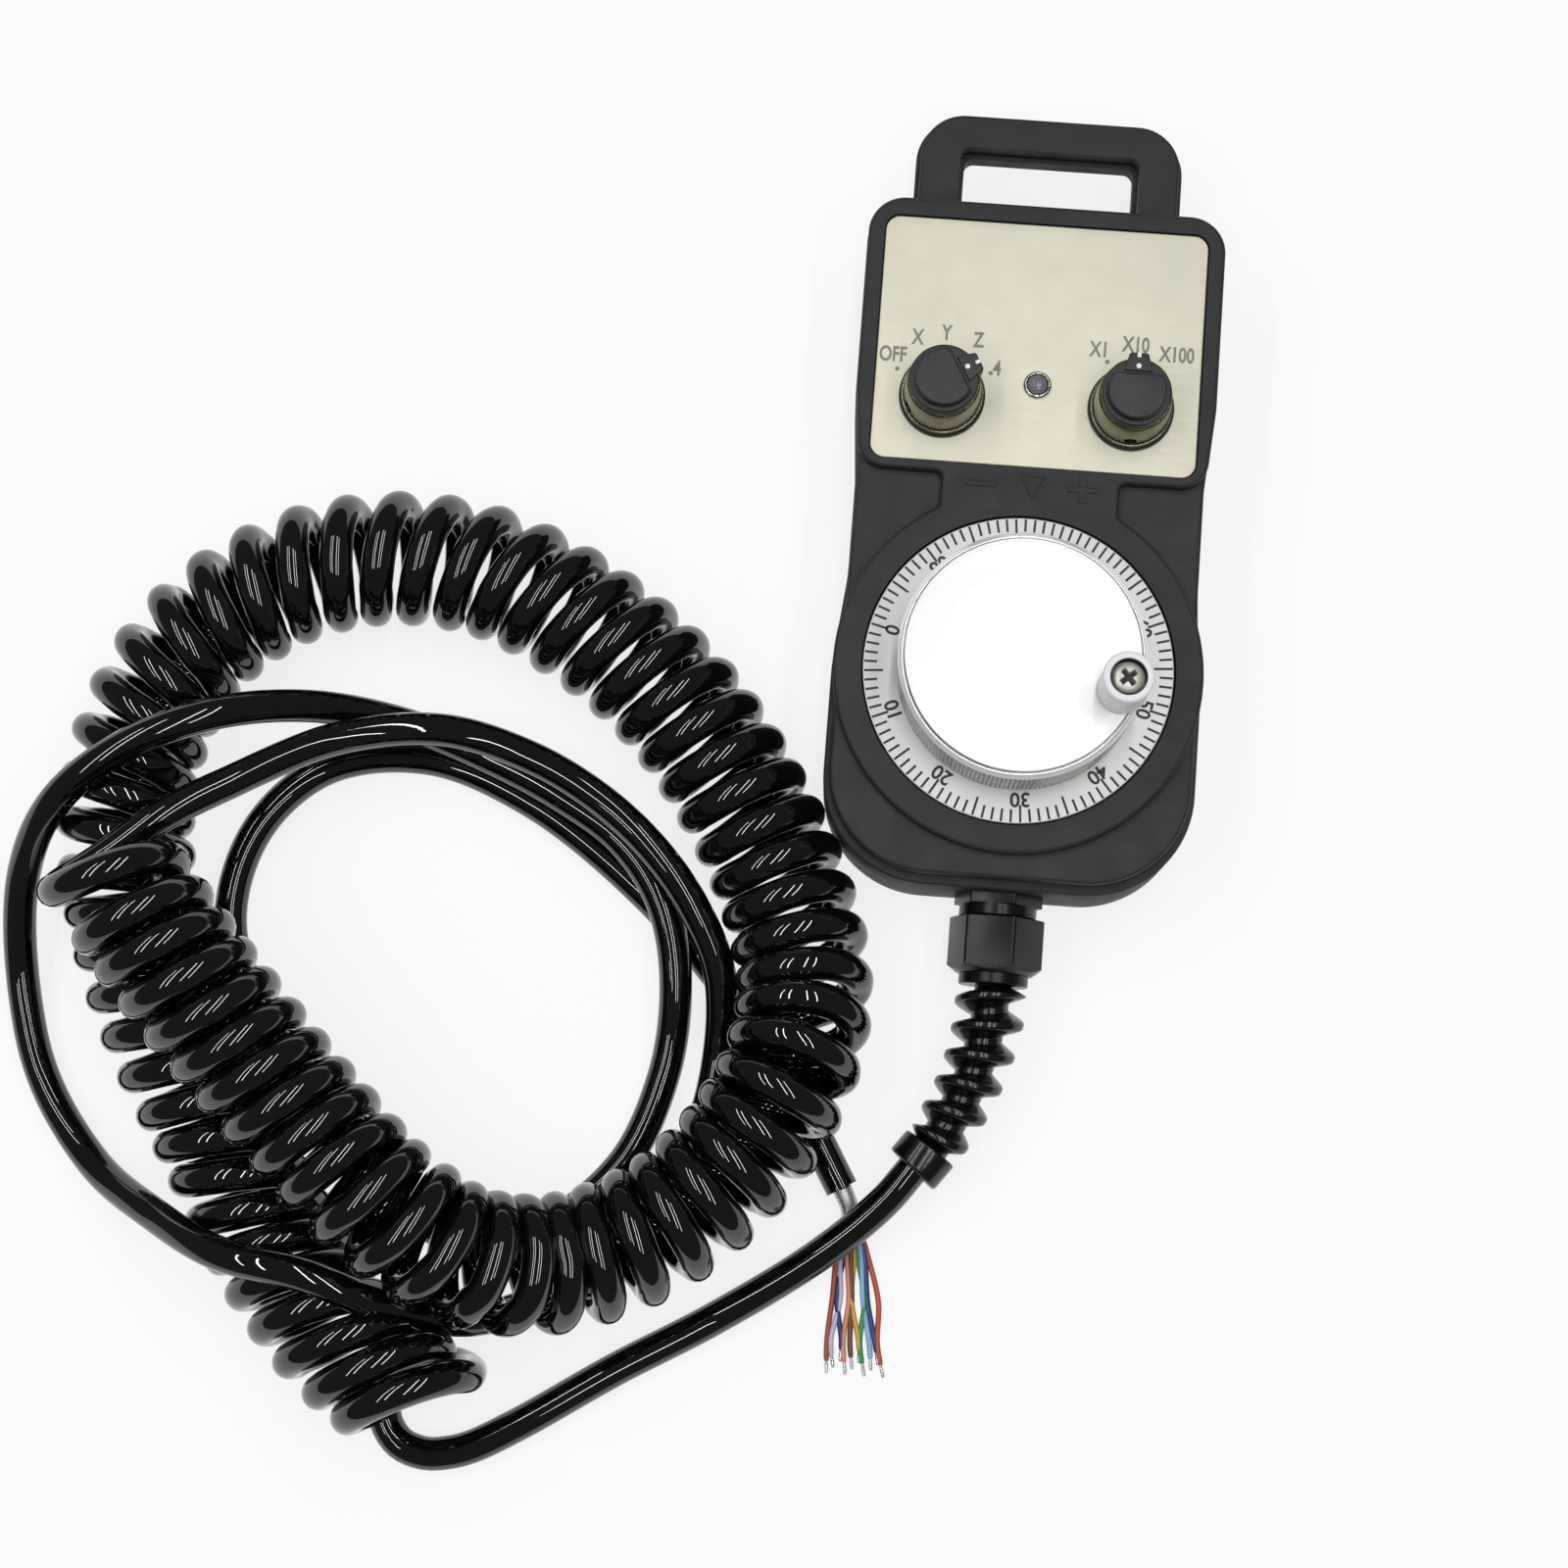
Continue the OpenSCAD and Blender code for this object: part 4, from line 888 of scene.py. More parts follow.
class HANDWHEEL_OT_cord(bpy.types.Operator):
    """Cable from the collar through its curls to the stripped cores"""

    bl_idname = "handwheel.cord"
    bl_label = "Cord"

    def execute(self, context):
        sizes = context.scene.handwheel_sizes
        line = cord_line(sizes)
        curve = bpy.data.curves.new("cable", "CURVE")
        curve.dimensions = "3D"
        curve.bevel_depth, curve.bevel_resolution = sizes.cable / 2, 8
        curve.use_fill_caps = True
        spline = curve.splines.new("POLY")
        spline.points.add(len(line) - 1)
        spline.points.foreach_set("co", [c for p in line for c in (*p, 1.0)])
        spline.use_smooth = True
        cable = bpy.data.objects.new("cable", curve)
        context.scene.collection.objects.link(cable)
        curve.materials.append(MATERIALS["polyurethane_extruded"])
        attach(cable, "housing")
        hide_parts("cord_tail", "cord_coil", "cord_lead")
        extras = self.end(Vector(LEAD[-1]) / MM)
        return {"FINISHED"}

    def end(self, cut):
        """Screen, cores and tips beyond the jacket's cut end."""
        chance = random.Random(11)
        root = Vector((-30, -170, 2.6))
        line = through([cut, Vector((-31, -165, 3.6)), root], 0.5)
        rings = []
        for i, p in enumerate(line):
            side, up = across(line, i)
            share = i / (len(line) - 1)
            ring = []
            for a in full_turn(36):
                # Strands in eighteen ridges that wind round, frayed towards the end
                strands = 0.16 * abs(math.sin(9 * a + 5 * share * math.tau)) + 0.1 * chance.random() * share
                r = SCREEN_RADIUS - SCREEN_TAPER * share + strands
                ring.append(p + r * (math.cos(a) * up * 0.85 + math.sin(a) * side))
            rings.append(ring)
        made = [piece("cable_screen", skin(rings), "copper_tinned_braid", "shield_braid", node="core_shield",
                      sharp=80)]
        for i, code in enumerate(CORES):
            fan = i - (len(CORES) - 1) / 2
            stray = 1.1 * math.sin(2.3 * i)
            route = through([
                root + Vector((0.3 * fan, 1.5, 0.4 * math.sin(i * 2.1))),
                root + Vector((0.8 + 0.85 * fan, -7, -1.1 + 0.4 * math.cos(i * 1.7))),
                root + Vector((1.8 + 1.15 * fan + stray, -18, CORE_LIES - root.z)),
                root + Vector((2.6 + 1.45 * fan - stray * 0.6, -28, CORE_LIES - root.z)),
                Vector((root.x + 3.5 + 1.55 * fan, -206 + 1.5 * (i % 3), CORE_LIES)),
            ], 1.0)
            # Extruded PVC: one even colour to a core, with a soft gloss
            finish = "pvc_extruded_core_%d" % i
            tree, shader = start_material(finish, code, Roughness=0.32, IOR=1.53)
            surface(tree, shader, noise(tree, 1.0, place(tree)), 0.01)
            strip = len(route) - 1 - STRIPPED
            node = None if i else "core_wires"
            made.append(self.wire("core_%d" % i, route[: strip + 1], CORE_RADIUS, finish, node))
            made.append(self.wire("core_tip_%d" % i, route[strip:], TIP_RADIUS, "solder_tinned_tip"))
        return made

    @staticmethod
    def wire(name, route, r, finish, node=None):
        """A round wire along a route, a little thinner at its ends."""
        rings = []
        for i, p in enumerate(route):
            side, up = across(route, i)
            here = r * (0.75 if i in (0, len(route) - 1) else 1.0)
            rings.append([p + here * (math.cos(a) * up + math.sin(a) * side) for a in full_turn(14)])
        return piece(name, skin(rings), finish, "core_insulation", node=node, sharp=60)


# ---- Housing -------------------------------------------------------------------

# Outlines round the wheel's axis: x, y and rounding of each corner of the right half
REAR = mirrored([
    (45.1, -52.7, 26), (45.1, 0, 60), (42.8, 22, 60), (42.8, 48, 20), (44.3, 68, 30), (44.3, 117, 9.3),
])
FRONT = mirrored([
    (43.7, -50.46, 24.6), (43.7, 0, 60), (42.5, 22, 60), (42.5, 48, 20), (44.1, 68, 30), (44.1, 116.8, 9.1),
])
# The raised deck: a round plateau under the wheel, a neck, and the bezel of the panel
PLATEAU = 44.8
NECK = 21.8
LAST_TANGENT = math.radians(58)
NECK_MEETS = PLATEAU * math.sin(LAST_TANGENT) + (
    (PLATEAU * math.cos(LAST_TANGENT) - NECK) / math.tan(LAST_TANGENT)
)
BEZEL_FOOT = 47.8
RAISED = mirrored([
    (PLATEAU, -PLATEAU, PLATEAU), (PLATEAU, PLATEAU * math.tan(LAST_TANGENT / 2), PLATEAU),
    (NECK, NECK_MEETS, 1), (NECK, BEZEL_FOOT, 1.5), (42.5, BEZEL_FOOT + 0.1, 7), (44.1, 68, 30),
    (44.1, 116.8, 9.1),
])
# Heights of the joint between the shells and of the step under the deck, and the walls' thickness
SPLIT = 30.0
STEP = 35.0
WALL = 2.6
# Screws of the rear shell, right of the middle
SCREW_PLACES = ((37.5, 107), (35, 42), (33, -33))


def on_dial(solid):
    """Moves a solid from the wheel's axis to its place."""
    return shifted(solid, y=WHEEL.y)


class HANDWHEEL_OT_housing(bpy.types.Operator):
    """Front and rear shells with their groove, recesses and raised marks"""

    bl_idname = "handwheel.housing"
    bl_label = "Housing"

    def execute(self, context):
        edge = context.scene.handwheel_sizes.edge / MM
        front, raised, rear = (fillet(o, 20, True) for o in (FRONT, RAISED, REAR))
        lip = [(SPLIT, 1), (SPLIT + 0.9, 1), (SPLIT + 0.9, 0)]
        base = on_dial(plate(front, lip + round_over(STEP, edge)))
        # The deck's side stands a hair inside the base's, so that no two faces share a plane
        clear = 0.02
        top = [(z, d + clear) for z, d in round_over(FACE, edge)]
        deck = on_dial(plate(raised, [(SPLIT + 1.2, clear)] + top))
        panel = on_dial(plate(fillet(panel_outline(0.4), 10, True), [(36.3, 0), (FACE + 1, 0)]))
        hollow = on_dial(plate(front, [(SPLIT - 1, WALL), (32.2, WALL)]))
        carved("shell_front", base, [
            (JOIN, deck),
            (CUT, drum(38, 34.6, FACE + 1, 0, WHEEL.y, 160)),
            (CUT, panel),
            (CUT, hollow),
            (CUT, drum(15.1, SPLIT - 1, FACE, 0, WHEEL.y)),
        ], "abs_moulded_matt", "housing_plastic", node="front_shell", sharp=38)

        under = round_under(0, 5, 8)
        body = on_dial(plate(rear, under + [(SPLIT - 0.6, 0), (SPLIT - 0.35, 0.12), (SPLIT, 0.5)]))
        room = on_dial(plate(rear, [(WALL, WALL + 1), (WALL + 1, WALL), (SPLIT + 1, WALL)]))
        steps = [(CUT, room)]
        for x, y in SCREW_PLACES:
            for side in (-1, 1):
                steps.append((JOIN, drum(4.5, 1.3, 16, side * x, y + WHEEL.y, 32)))
                steps.append((CUT, drum(3.3, -1, 10, side * x, y + WHEEL.y, 32)))
        carved("shell_rear", body, steps, "abs_moulded_matt", "rear_plastic", node="rear_shell", sharp=38)

        self.marks()
        return {"FINISHED"}

    @staticmethod
    def marks():
        """Raised outlines of minus, triangle and plus on the neck."""
        foot, high, wide, ease = FACE - 0.1, 0.42, 0.55, 0.08
        arm, reach = 0.95, 3.65
        cross = [
            (arm, -reach), (arm, -arm), (reach, -arm), (reach, arm), (arm, arm), (arm, reach),
            (-arm, reach), (-arm, arm), (-reach, arm), (-reach, -arm), (-arm, -arm), (-arm, -reach),
        ]
        outlines = {
            "minus": oblong(7.4, 1.9, -12.2, 45.6),
            "triangle": [(0.4, 42.0), (3.5, 48.4), (-2.7, 48.4)],
            "plus": [(12.7 + x, 45.7 + y) for x, y in cross],
        }
        for tag, outline in outlines.items():
            outer = plate(outline, [(foot, 0), (foot + high - ease, 0), (foot + high, ease)])
            inner = plate(inward(outline, wide), [(foot - 0.2, 0), (foot + high + 0.2, 0)])
            carved("mark_" + tag, on_dial(outer), [(CUT, on_dial(inner))],
                   "abs_moulded_matt", "housing_plastic", sharp=30)


class HANDWHEEL_OT_hanger(bpy.types.Operator):
    """Loop on the head, in two layers"""

    bl_idname = "handwheel.hanger"
    bl_label = "Hanger"

    def execute(self, context):
        half = 33.6

        def loop(d):
            return fillet(mirrored([(half - d, 113, 0), (half - d, 144 - d, 12 - d)]), 14, True)

        def opening(bar):
            return fillet(mirrored([(half - bar, 112, 0), (half - bar, 145.6 - bar, 2.5)]), 8, True)

        back = plate(loop(0), round_under(18, 0.9) + [(22.4, 0), (22.6, 0.2), (22.6, 1.5)])
        front = plate(loop(1.1), [(20, 0)] + round_over(28, 1.0))
        carved("hanger_loop", on_dial(back), [
            (JOIN, on_dial(front)),
            (CUT, on_dial(plate(opening(12.2), [(17, 0), (23, 0)]))),
            (CUT, on_dial(plate(opening(11.1), [(22.5, 0), (29, 0)]))),
            (CUT, on_dial(plate(oblong(100, 17, 0, 108.5), [(10, 0), (40, 0)]))),
        ], "abs_moulded_matt", "housing_plastic", node="hanger_handle", sharp=38)
        return {"FINISHED"}


# ---- Panel ---------------------------------------------------------------------

# Places on the panel: the knobs to either side of the middle, and the indicator between them
KNOB_ASIDE = 23.1
KNOB_ALONG = WHEEL.y + 66.6
INDICATOR_ALONG = WHEEL.y + 71
# The panel's middle, half its width and height, and the rounding of its corners
PANEL_MIDDLE = (BEZEL_FOOT + 117) / 2 - 1.3
PANEL_ASIDE = 39.75
PANEL_ALONG = 30.7
PANEL_ROUND = 3.5


def panel_outline(grow):
    """Outline of the panel, or of its opening, grown by a gap."""
    wide, corner = PANEL_ASIDE + grow, PANEL_ROUND + grow
    return mirrored([
        (wide, PANEL_MIDDLE - PANEL_ALONG - grow, corner), (wide, PANEL_MIDDLE + PANEL_ALONG + grow, corner),
    ])


class HANDWHEEL_OT_panel(bpy.types.Operator):
    """Brushed panel with its print and the indicator"""

    bl_idname = "handwheel.panel"
    bl_label = "Panel"

    def execute(self, context):
        outline = fillet(panel_outline(0), 10, True)
        sheet = on_dial(plate(outline, [(PANEL_TOP - 1.2, 0)] + round_over(PANEL_TOP, 0.25, 3)))
        cuts = [(CUT, drum(2.6, 30, 40, 0, INDICATOR_ALONG))]
        cuts += [(CUT, drum(4.6, 30, 40, x, KNOB_ALONG)) for x in (-KNOB_ASIDE, KNOB_ASIDE)]
        carved("panel_plate", sheet, cuts, "aluminium_brushed_champagne", "panel_aluminium",
               node="front_panel", sharp=30)
        self.print_on(context.scene.handwheel_sizes.label / MM)
        self.indicator((0, INDICATOR_ALONG))
        return {"FINISHED"}

    @staticmethod
    def print_on(high):
        """Labels round both knobs, and the dots of their stops."""
        z = PANEL_TOP - 0.01
        labels = (
            ("OFF", -35.8, 76.3), ("X", -30.0, 81.0), ("Y", -23.0, 82.6), ("Z", -15.1, 81.3),
            ("4", -10.1, 74.5), ("X1", 14.6, 81.1), ("X10", 23.5, 82.9), ("X100", 33.6, 81.0),
        )
        items = [(text, x, y + WHEEL.y, z, 0) for text, x, y in labels]
        work = lettering(items, high, bold=0.14, squeeze=0.72)
        for x, y in ((-34.5, 72.8), (-11.6, 73.3), (16.7, 78.2)):
            add_dot(work, x, y + WHEEL.y, z, 0.55)
        printed("panel_print", work, "ink_print_grey", "panel_aluminium")

    @staticmethod
    def indicator(centre):
        """Nickel ring and the dome that it holds."""
        top = PANEL_TOP
        ring = fillet([
            (2.6, top, 0), (3.4, top, 0.05), (3.4, top + 0.7, 0.3), (2.75, top + 1.1, 0.2),
            (2.6, top + 0.5, 0),
        ], 5)
        piece("indicator_bezel", lathe(ring, centre, 64), "brass_nickel_plated", "indicator_metal",
              node="led_bezel")
        arc = [(2.5 * math.cos(a), top + 0.5 + 1.5 * math.sin(a)) for a in quarter(12)]
        dome = [(2.5, top - 4)] + arc + [(0, top + 2.0), (0, top - 4)]
        piece("indicator_dome", lathe(dome, centre, 64), "epoxy_cast_smoked", "indicator_lens",
              node="led_lens", sharp=60)


# ---- Selectors -----------------------------------------------------------------


class HANDWHEEL_OT_selectors(bpy.types.Operator):
    """Base rings, skirts, caps and pointers of both selectors"""

    bl_idname = "handwheel.selectors"
    bl_label = "Selectors"

    def execute(self, context):
        for x, tag, turn in ((-KNOB_ASIDE, "axis", 30), (KNOB_ASIDE, "rate", 90)):
            self.knob(x, KNOB_ALONG, tag, turn)
        return {"FINISHED"}

    @staticmethod
    def knob(x, y, tag, turn):
        """One selector, its pointer turned to an angle."""
        top = PANEL_TOP
        body = tag + "_knob"
        foot, head, core = top + 2.1, top + 12.5, 7.7
        ring = fillet([
            (8.4, top, 0), (10.55, top, 0.1), (10.55, top + 1.4, 0.35), (10.05, top + 1.8, 0.2),
            (8.4, top + 1.8, 0.1),
        ], 4, True)
        piece(tag + "_base_ring", lathe(ring, (x, y)), "abs_moulded_grained", "seal_black",
              node=tag + "_seal_ring")

        def placed(solid):
            return shifted(solid, x, y, turn)

        cone = lathe(fillet([
            (core, foot, 0), (10.1, foot, 0.1), (10.1, foot + 0.7, 0.2), (9.2, foot + 0.8, 0.1),
            (9.2, foot + 1.3, 0.1), (9.55, foot + 1.4, 0.1), (8.85, head - 0.3, 0.3), (8.5, head, 0.1),
            (core, head, 0),
        ], 4, True), count=128)
        # The grub screw's hole, drilled across the axis
        hole = drum(1.6, -12, -4, count=32)
        hole = ([(pz, px, py + foot + 3) for px, py, pz in hole[0]], hole[1])
        carved(tag + "_skirt", placed(cone), [(CUT, placed(hole))],
               "aluminium_brushed_bronze", "knob_metal", node=tag + "_knob_skirt", body=body, sharp=30)

        # A black ring sits in the skirt's groove: painted shade where the groove lies in shadow
        low, high = foot + 0.78, foot + 1.3
        band = fillet([(9.1, low, 0), (9.72, low, 0.1), (9.72, high, 0.1), (9.1, high, 0)], 3, True)
        piece(tag + "_skirt_painted_shade", lathe(band, (x, y)), "rubber_and_painted_shade", "knob_black", body=body)

        brim = top + 15.7
        flange = lathe(fillet([
            (0, foot + 1, 0), (core, foot + 1, 0), (core, head, 0), (8.4, head, 0.1), (8.4, brim, 0.5),
            (7.9, brim, 0.1), (0, brim, 0),
        ], 4))
        # A round crown cut straight on the pointer's side
        crown, flat = 7.2, 4.2
        limit = math.acos(flat / crown)
        disc = [polar(crown, limit + (math.tau - 2 * limit) * k / 72) for k in range(73)]
        raised = plate(disc, [(head, 0)] + round_over(top + 17.7, 0.7, 5))
        tab = [(5, -3.4), (9.1, -2.35), (9.5, -1.95), (9.5, -0.5), (8.4, -0.5)]
        tab += [(px, -py) for px, py in reversed(tab)]
        pointer = plate(tab, [(head, 0)] + round_over(top + 16.3, 0.25, 3))
        carved(tag + "_cap", placed(flange), [
            (JOIN, placed(raised)),
            (JOIN, placed(pointer)),
            (CUT, placed(hole)),
            (CUT, placed(drum(3.05, foot - 1, head + 2.2))),
        ], "abs_moulded_grained", "knob_black", node=tag + "_knob_cap", body=body, sharp=32)

        work = bmesh.new()
        angle = math.radians(turn)
        add_bar(work, *polar(8.9, angle, (x, y)), top + 15.6, long=1.1, wide=0.86, turn=turn, thick=0.62)
        add_dot(work, *polar(6.2, angle, (x, y)), top + 16.29, r=0.6, thick=0.05)
        printed(tag + "_pointer_line", work, "ink_print_white", "knob_black", body)


# ---- Hand wheel ----------------------------------------------------------------

# Marks round the ring, the angle of the first in degrees, and where the marks and numerals stand
DIVISIONS = 100
ZERO_AT = 166.5
MARKS_REACH = 37.2
NUMERALS_AT = 31.6
# Lengths of each tenth mark, each fifth and the others, and the width of all
TENTH_MARK, FIFTH_MARK, MARK = 4.2, 4.6, 3.1
MARK_WIDE = 0.58
# Radius of the hub's crests and points to a tooth
HUB_RADIUS = 29.6
TOOTH_POINTS = 6
# Radius of the screw's shank in the grip, and the angles of its cross
SHANK = 2.05
CROSS = (40, 130)


class HANDWHEEL_OT_wheel(bpy.types.Operator):
    """Graduated ring, serrated hub, cover disc and crank grip"""

    bl_idname = "handwheel.wheel"
    bl_label = "Hand wheel"

    def execute(self, context):
        sizes = context.scene.handwheel_sizes
        self.ring(sizes)
        self.hub(sizes)
        self.cover()
        self.crank()
        return {"FINISHED"}

    @staticmethod
    def ring(sizes):
        """Turned ring with its hundred marks."""
        low, high = 35.2, 37.7
        profile = fillet([(29.0, low, 0), (37.5, low, 0.3), (37.5, high, 0.25), (29.0, high, 0)], 4)
        piece("wheel_ring", lathe(profile, WHEEL, 256), "aluminium_turned_satin", "wheel_aluminium",
              node="dial_wheel", body="wheel")
        z = high - 0.01
        turns = [ZERO_AT + 360 / DIVISIONS * i for i in range(DIVISIONS)]
        work = lettering([
            (str(i), *polar(NUMERALS_AT, math.radians(turns[i]), WHEEL), z, turns[i] - 90)
            for i in range(0, DIVISIONS, 10)
        ], sizes.numeral / MM, bold=0.11)
        for i, turn in enumerate(turns):
            long = TENTH_MARK if i % 10 == 0 else FIFTH_MARK if i % 5 == 0 else MARK
            add_bar(work, *polar(MARKS_REACH - long / 2, math.radians(turn), WHEEL), z, long, MARK_WIDE, turn)
        printed("wheel_graduations", work, "ink_print_black", "wheel_aluminium", "wheel")

    @staticmethod
    def hub(sizes):
        """Serrated side and the bright bevel at its rim."""
        rings = []
        # Height, radius and depth of the grooves
        for z, r, depth in (
            (36.0, 29.35, 0.0), (38.1, 29.35, 0.0), (38.5, HUB_RADIUS, 0.65), (54.2, HUB_RADIUS, 0.65),
            (54.5, 29.45, 0.2), (54.6, 28.9, 0.0),
        ):
            ring = []
            for j, a in enumerate(full_turn(sizes.teeth * TOOTH_POINTS)):
                groove = depth * (1 - abs(2 * (j % TOOTH_POINTS) / TOOTH_POINTS - 1)) ** 1.3
                ring.append((*polar(r - groove, a), z))
            rings.append(ring)
        piece("wheel_hub", on_dial(skin(rings)), "aluminium_knurled", "wheel_aluminium", sharp=50,
              body="wheel")
        bevel = fillet([
            (28.25, 54.55, 0), (29.5, 54.55, 0.1), (HUB_RADIUS, 55.1, 0.2), (28.6, 56.1, 0.3),
            (28.25, 56.1, 0.1),
        ], 4, True)
        piece("wheel_rim", lathe(bevel, WHEEL, 192), "aluminium_diamond_cut", "wheel_aluminium", sharp=30,
              body="wheel")

    @staticmethod
    def cover():
        """Lacquered disc that closes the hub."""
        low = HUB_TOP - 0.02
        profile = fillet([(0, low, 0), (28.0, low, 0), (28.0, DISC_TOP, 0.3), (0, DISC_TOP, 0)], 6)
        carved("wheel_cover", lathe(profile, WHEEL, 192),
               [(CUT, drum(SHANK, 50, 60, CRANK.x, CRANK.y, 32))],
               "aluminium_lacquered_white", "mirror_disc", node="wheel_face_disc", body="wheel")

    @staticmethod
    def crank():
        """Spool grip on its cross-head screw."""
        foot, top, r = 57.5, 73.5, 6.0
        bottom, tall, hollow, steps = top - 3.2, top - foot - 2.6, 1.0, 24
        below = fillet([(SHANK, foot, 0), (5.9, foot, 0.3), (5.9, foot + 1.2, 0)], 4)
        waist = [
            (r - math.sin(math.pi * k / steps) * hollow, foot + 1.2 + tall * k / steps)
            for k in range(steps + 1)
        ]
        above = fillet([
            (r, top - 1.4, 0), (r, top, 0.7), (4.3, top, 0.2), (4.3, bottom, 0.2), (SHANK, bottom, 0),
        ], 6)
        profile = [(SHANK, foot)] + below[1:-1] + waist + above[1:]
        piece("crank_spool", lathe(profile, CRANK), "acetal_turned_white", "grip_metal", node="crank_grip",
              sharp=30, body="grip")
        # A thin black sheet on the wall of the grip's hollow: painted shade round the screw's head
        recess_shade = fillet([
            (4.28, top - 3.15, 0), (4.28, top - 0.15, 0), (4.1, top - 0.2, 0), (4.05, top - 3.15, 0),
        ], 3)
        piece("crank_recess_painted_shade", lathe(recess_shade, CRANK, 64), "rubber_and_painted_shade", "grip_metal", sharp=30,
              body="grip")

        # Pan head, with a cross cut into it that stays clear of the shank's top
        low = bottom + 0.3
        arc = [(3.8 * math.cos(a) ** 0.8, low + 0.9 + 1.4 * math.sin(a)) for a in quarter(10)]
        head = lathe([(0, low), (3.8, low)] + arc + [(0, low + 2.3)], CRANK, 64)
        blade = plate(oblong(4.6, 1.6), [(low + 0.35, 0.4), (low + 1.2, 0.25), (low + 2.7, 0)])
        stem = drum(2.0, 47, low + 0.1, CRANK.x, CRANK.y, 32)
        cuts = [(CUT, shifted(blade, CRANK.x, CRANK.y, turn)) for turn in CROSS]
        carved("crank_pan_screw", head, [(JOIN, stem)] + cuts, "steel_nickel_tumbled", "screw_steel",
               node="crank_screw", body="wheel", sharp=30)

        # A dark cross at the bottom of the slots, painted shade in the screw's cross; its arms differ a little
        # in height
        arms = [
            shifted(plate(oblong(3.8, 1.0), [(low + 0.3, 0), (low + rise, 0)]), CRANK.x, CRANK.y, turn)
            for rise, turn in zip((0.75, 0.8), CROSS)
        ]
        carved("crank_cross_painted_shade", arms[0], [(JOIN, arms[1])], "steel_recess_painted_shade", "screw_steel",
               body="wheel", sharp=30)


# ---- Gland and strain relief ----------------------------------------------------

# How far the hexagons are turned, in degrees
HEXAGON_TURN = 11


def out_of_gland(solid, turn=0.0):
    """Lays a solid built up z along -y, from the bottom wall."""
    solid = shifted(solid, turn=turn)
    return [(x, GLAND_FOOT - z, GLAND_HEIGHT + y) for x, y, z in solid[0]], solid[1]


def hexagon(flats, radius=0.6):
    """A hexagon over its flats, with eased corners."""
    r = flats / 2 / math.cos(math.pi / 6)
    return fillet([(*polar(r, math.pi / 3 * k), radius) for k in range(6)], 4, True)


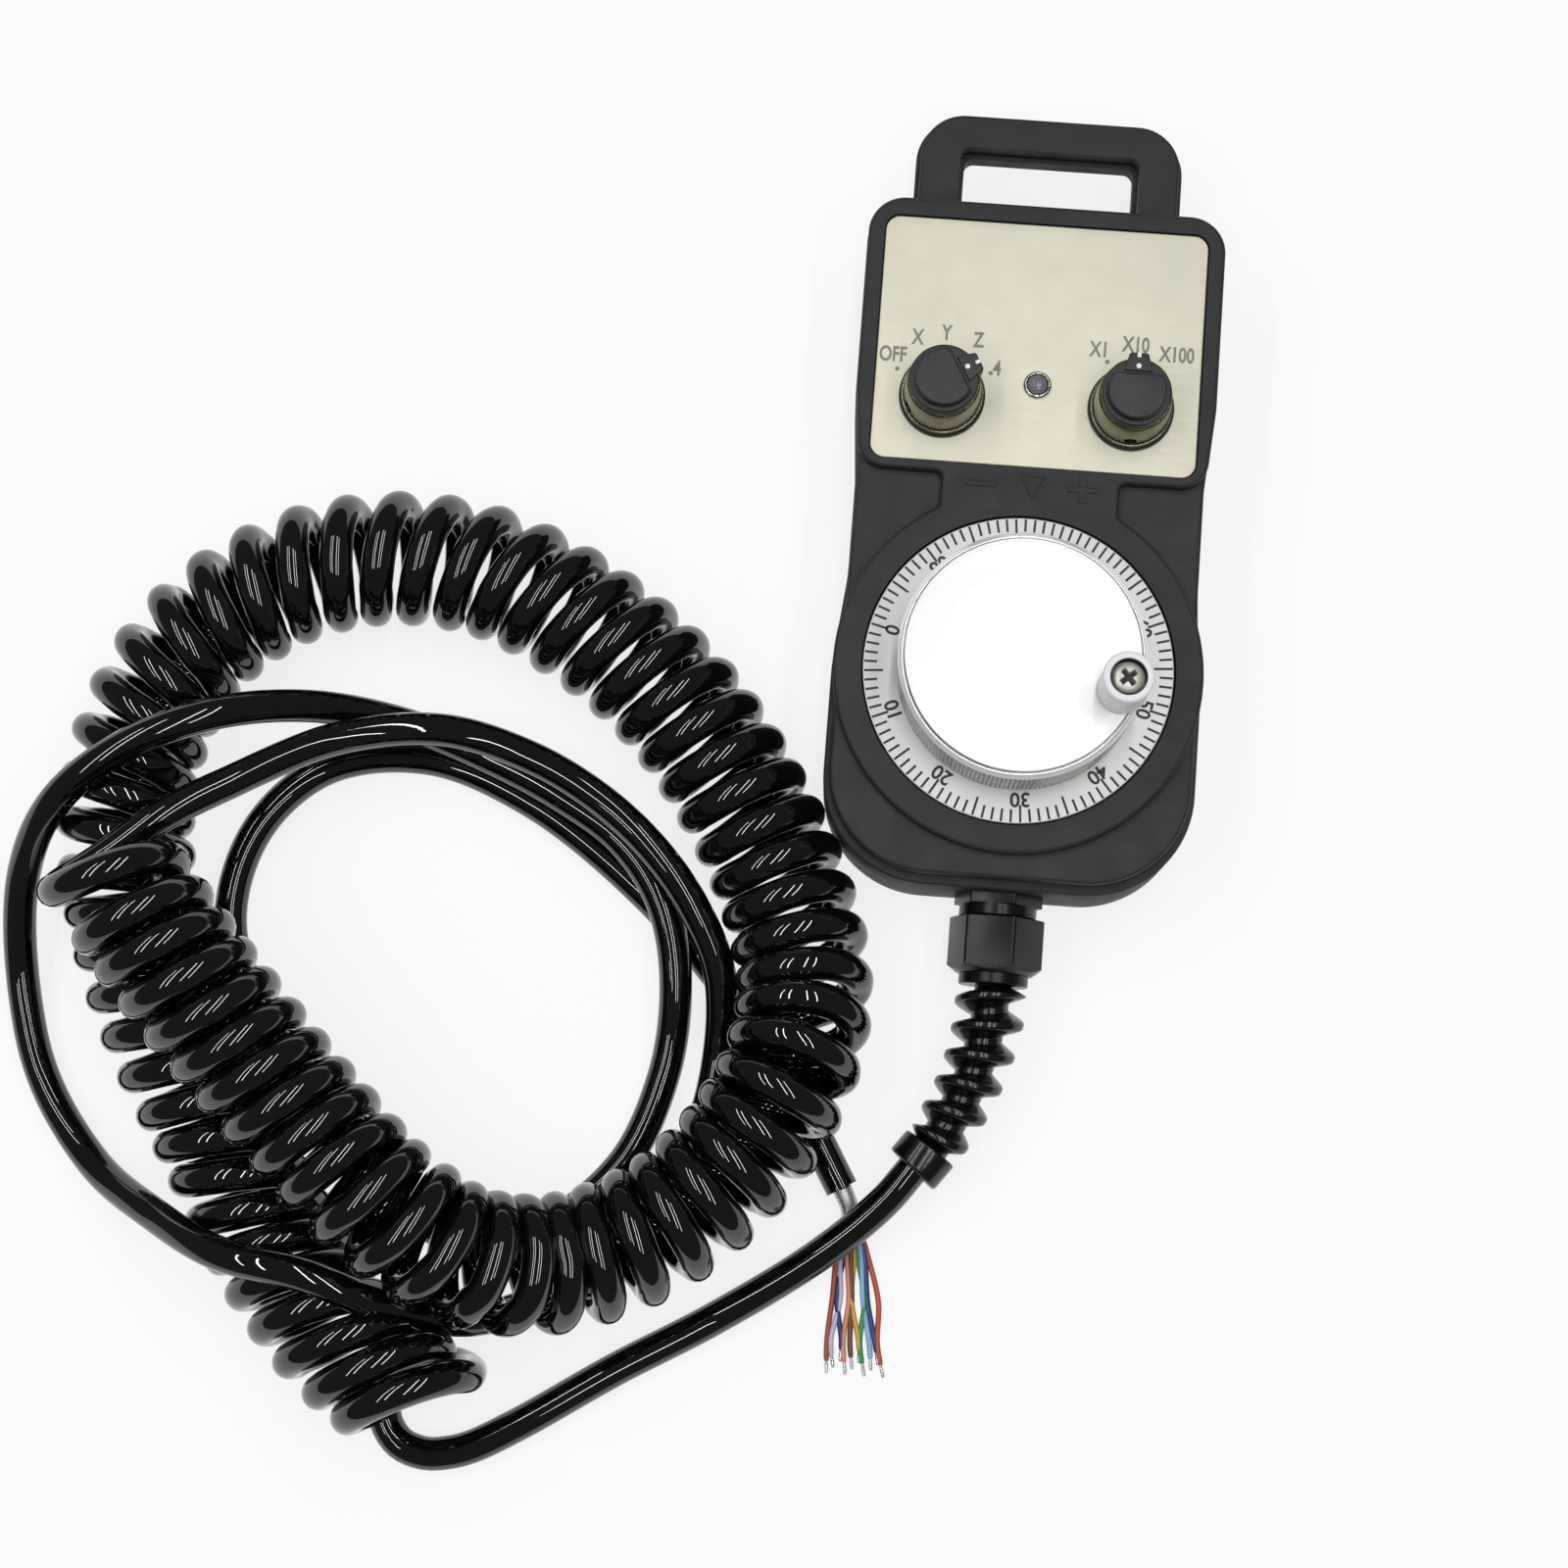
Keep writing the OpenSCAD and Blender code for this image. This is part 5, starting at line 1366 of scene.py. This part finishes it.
class HANDWHEEL_OT_gland(bpy.types.Operator):
    """Cable gland, its dome nut, the spiral strain relief and its collar"""

    bl_idname = "handwheel.gland"
    bl_label = "Gland"

    def execute(self, context):
        self.base()
        self.nut()
        piece("relief_spiral", self.spiral(), "pvc_moulded_gloss", "gland_nylon", node="strain_relief",
              sharp=60)
        piece("relief_end_collar", self.collar(), "pvc_moulded_gloss", "gland_nylon", node="relief_collar")
        return {"FINISHED"}

    @staticmethod
    def base():
        """Hexagon and ring outside the wall, and the threaded stem through it."""
        flange = plate(hexagon(19), round_under(0, 0.1, 1) + round_over(2.9, 0.35, 4))
        ring = lathe(fillet([(0, 2.4, 0), (9.5, 2.4, 0), (9.5, 5.7, 0.4), (0, 5.7, 0)], 4))
        z = -18.0
        thread = [(0, z)]
        while z < 0.6:
            thread += [(7.35, z), (8.0, z + 0.55), (8.0, z + 0.75), (7.35, z + 1.3)]
            z += 1.5
        stem = lathe(thread + [(7.4, 1.0), (7.4, 12.0), (0, 12.0)], count=64)
        carved("gland_base", out_of_gland(flange, HEXAGON_TURN),
               [(JOIN, out_of_gland(ring)), (JOIN, out_of_gland(stem))],
               "nylon_moulded_gloss", "gland_nylon", node="gland_body", sharp=32)

    @staticmethod
    def nut():
        """Dome nut: a hexagon cut by a dome, with a round neck."""
        prism = plate(hexagon(20.5, 0.9), [(5.8, 0.3), (6.1, 0), (19.6, 0)])
        end = [(8.5, 22.3, 0.5), (0, 22.3, 0)]
        dome = lathe(fillet([
            (0, 5.7, 0), (12.3, 5.7, 0), (12.3, 17.2, 2.0), (9.2, 19.6, 0.6), (8.5, 19.6, 0.2),
        ] + end, 6), count=128)
        neck = lathe(fillet([(0, 18.5, 0), (8.5, 18.5, 0)] + end, 6))
        carved("gland_dome_nut", out_of_gland(prism, HEXAGON_TURN), [
            (TRIM, out_of_gland(dome)),
            (JOIN, out_of_gland(neck)),
            (CUT, out_of_gland(drum(4.1, 4, 26, count=48))),
        ], "nylon_moulded_gloss", "gland_nylon", node="gland_nut", sharp=30)

    @staticmethod
    def spiral():
        """Rib that winds along the bend and runs out at both ends."""
        pitch, phase, core, count = 7.5, 0.4, 4.4, 156
        # The rib's height where it starts and ends, half its width, and the part of that on its slope
        first, last, half, slope = 9.1, 7.4, 2.95, 2.5
        rings = []
        for i in range(count + 1):
            s = RELIEF_LENGTH * i / count
            ends = max(0.0, min(1.0, s / 2.0, (RELIEF_LENGTH - s) / 2.0))
            crest = first + (last - first) * s / RELIEF_LENGTH
            ring = []
            for a in full_turn(48):
                t = s / pitch + phase - a / math.tau
                off = abs(t - round(t)) * pitch
                rise = max(0.0, min(1.0, (half - off) / slope))
                r = core + (crest - core) * math.sin(rise * math.pi / 2) ** 1.4 * ends
                ring.append(round_relief(s, r, a))
            rings.append(ring)
        return skin(rings)

    @staticmethod
    def collar():
        """Smooth sleeve at the relief's end."""
        profile = fillet([
            (0, 4.5, 0), (0, 7.25, 0.6), (COLLAR_LENGTH, 7.25, 0.9), (COLLAR_LENGTH, 4.1, 0),
        ], 6)
        return skin([[round_relief(RELIEF_LENGTH + s, r, a) for a in full_turn(64)] for s, r in profile])


# ---- Panel in the sidebar and the run ---------------------------------------------

STEPS = (
    HANDWHEEL_OT_stage, HANDWHEEL_OT_finishes, HANDWHEEL_OT_cord, HANDWHEEL_OT_housing, HANDWHEEL_OT_hanger,
    HANDWHEEL_OT_panel, HANDWHEEL_OT_selectors, HANDWHEEL_OT_wheel, HANDWHEEL_OT_gland,
)


class HANDWHEEL_PT_pieces(bpy.types.Panel):
    """Lists the settings and the pieces"""

    bl_label = "Handwheel"
    bl_idname = "HANDWHEEL_PT_pieces"
    bl_space_type = "VIEW_3D"
    bl_region_type = "UI"
    bl_category = "Handwheel"

    def draw(self, context):
        for group in (context.scene.handwheel_sizes, context.scene.handwheel_colours):
            for key in group.__annotations__:
                self.layout.prop(group, key)
        for step in STEPS:
            self.layout.operator(step.bl_idname)


CLASSES = (HandwheelSizes, HandwheelColours) + STEPS + (HANDWHEEL_PT_pieces,)


def register():
    """Makes the settings, operators and panel known."""
    for made in CLASSES:
        bpy.utils.register_class(made)
    bpy.types.Scene.handwheel_sizes = PointerProperty(type=HandwheelSizes)
    bpy.types.Scene.handwheel_colours = PointerProperty(type=HandwheelColours)


def unregister():
    """Takes them away again."""
    del bpy.types.Scene.handwheel_colours
    del bpy.types.Scene.handwheel_sizes
    for made in reversed(CLASSES):
        bpy.utils.unregister_class(made)


def main():
    """Builds every piece in order."""
    register()
    for step in STEPS:
        group, call = step.bl_idname.split(".")
        getattr(getattr(bpy.ops, group), call)()


if __name__ == "__main__":
    main()
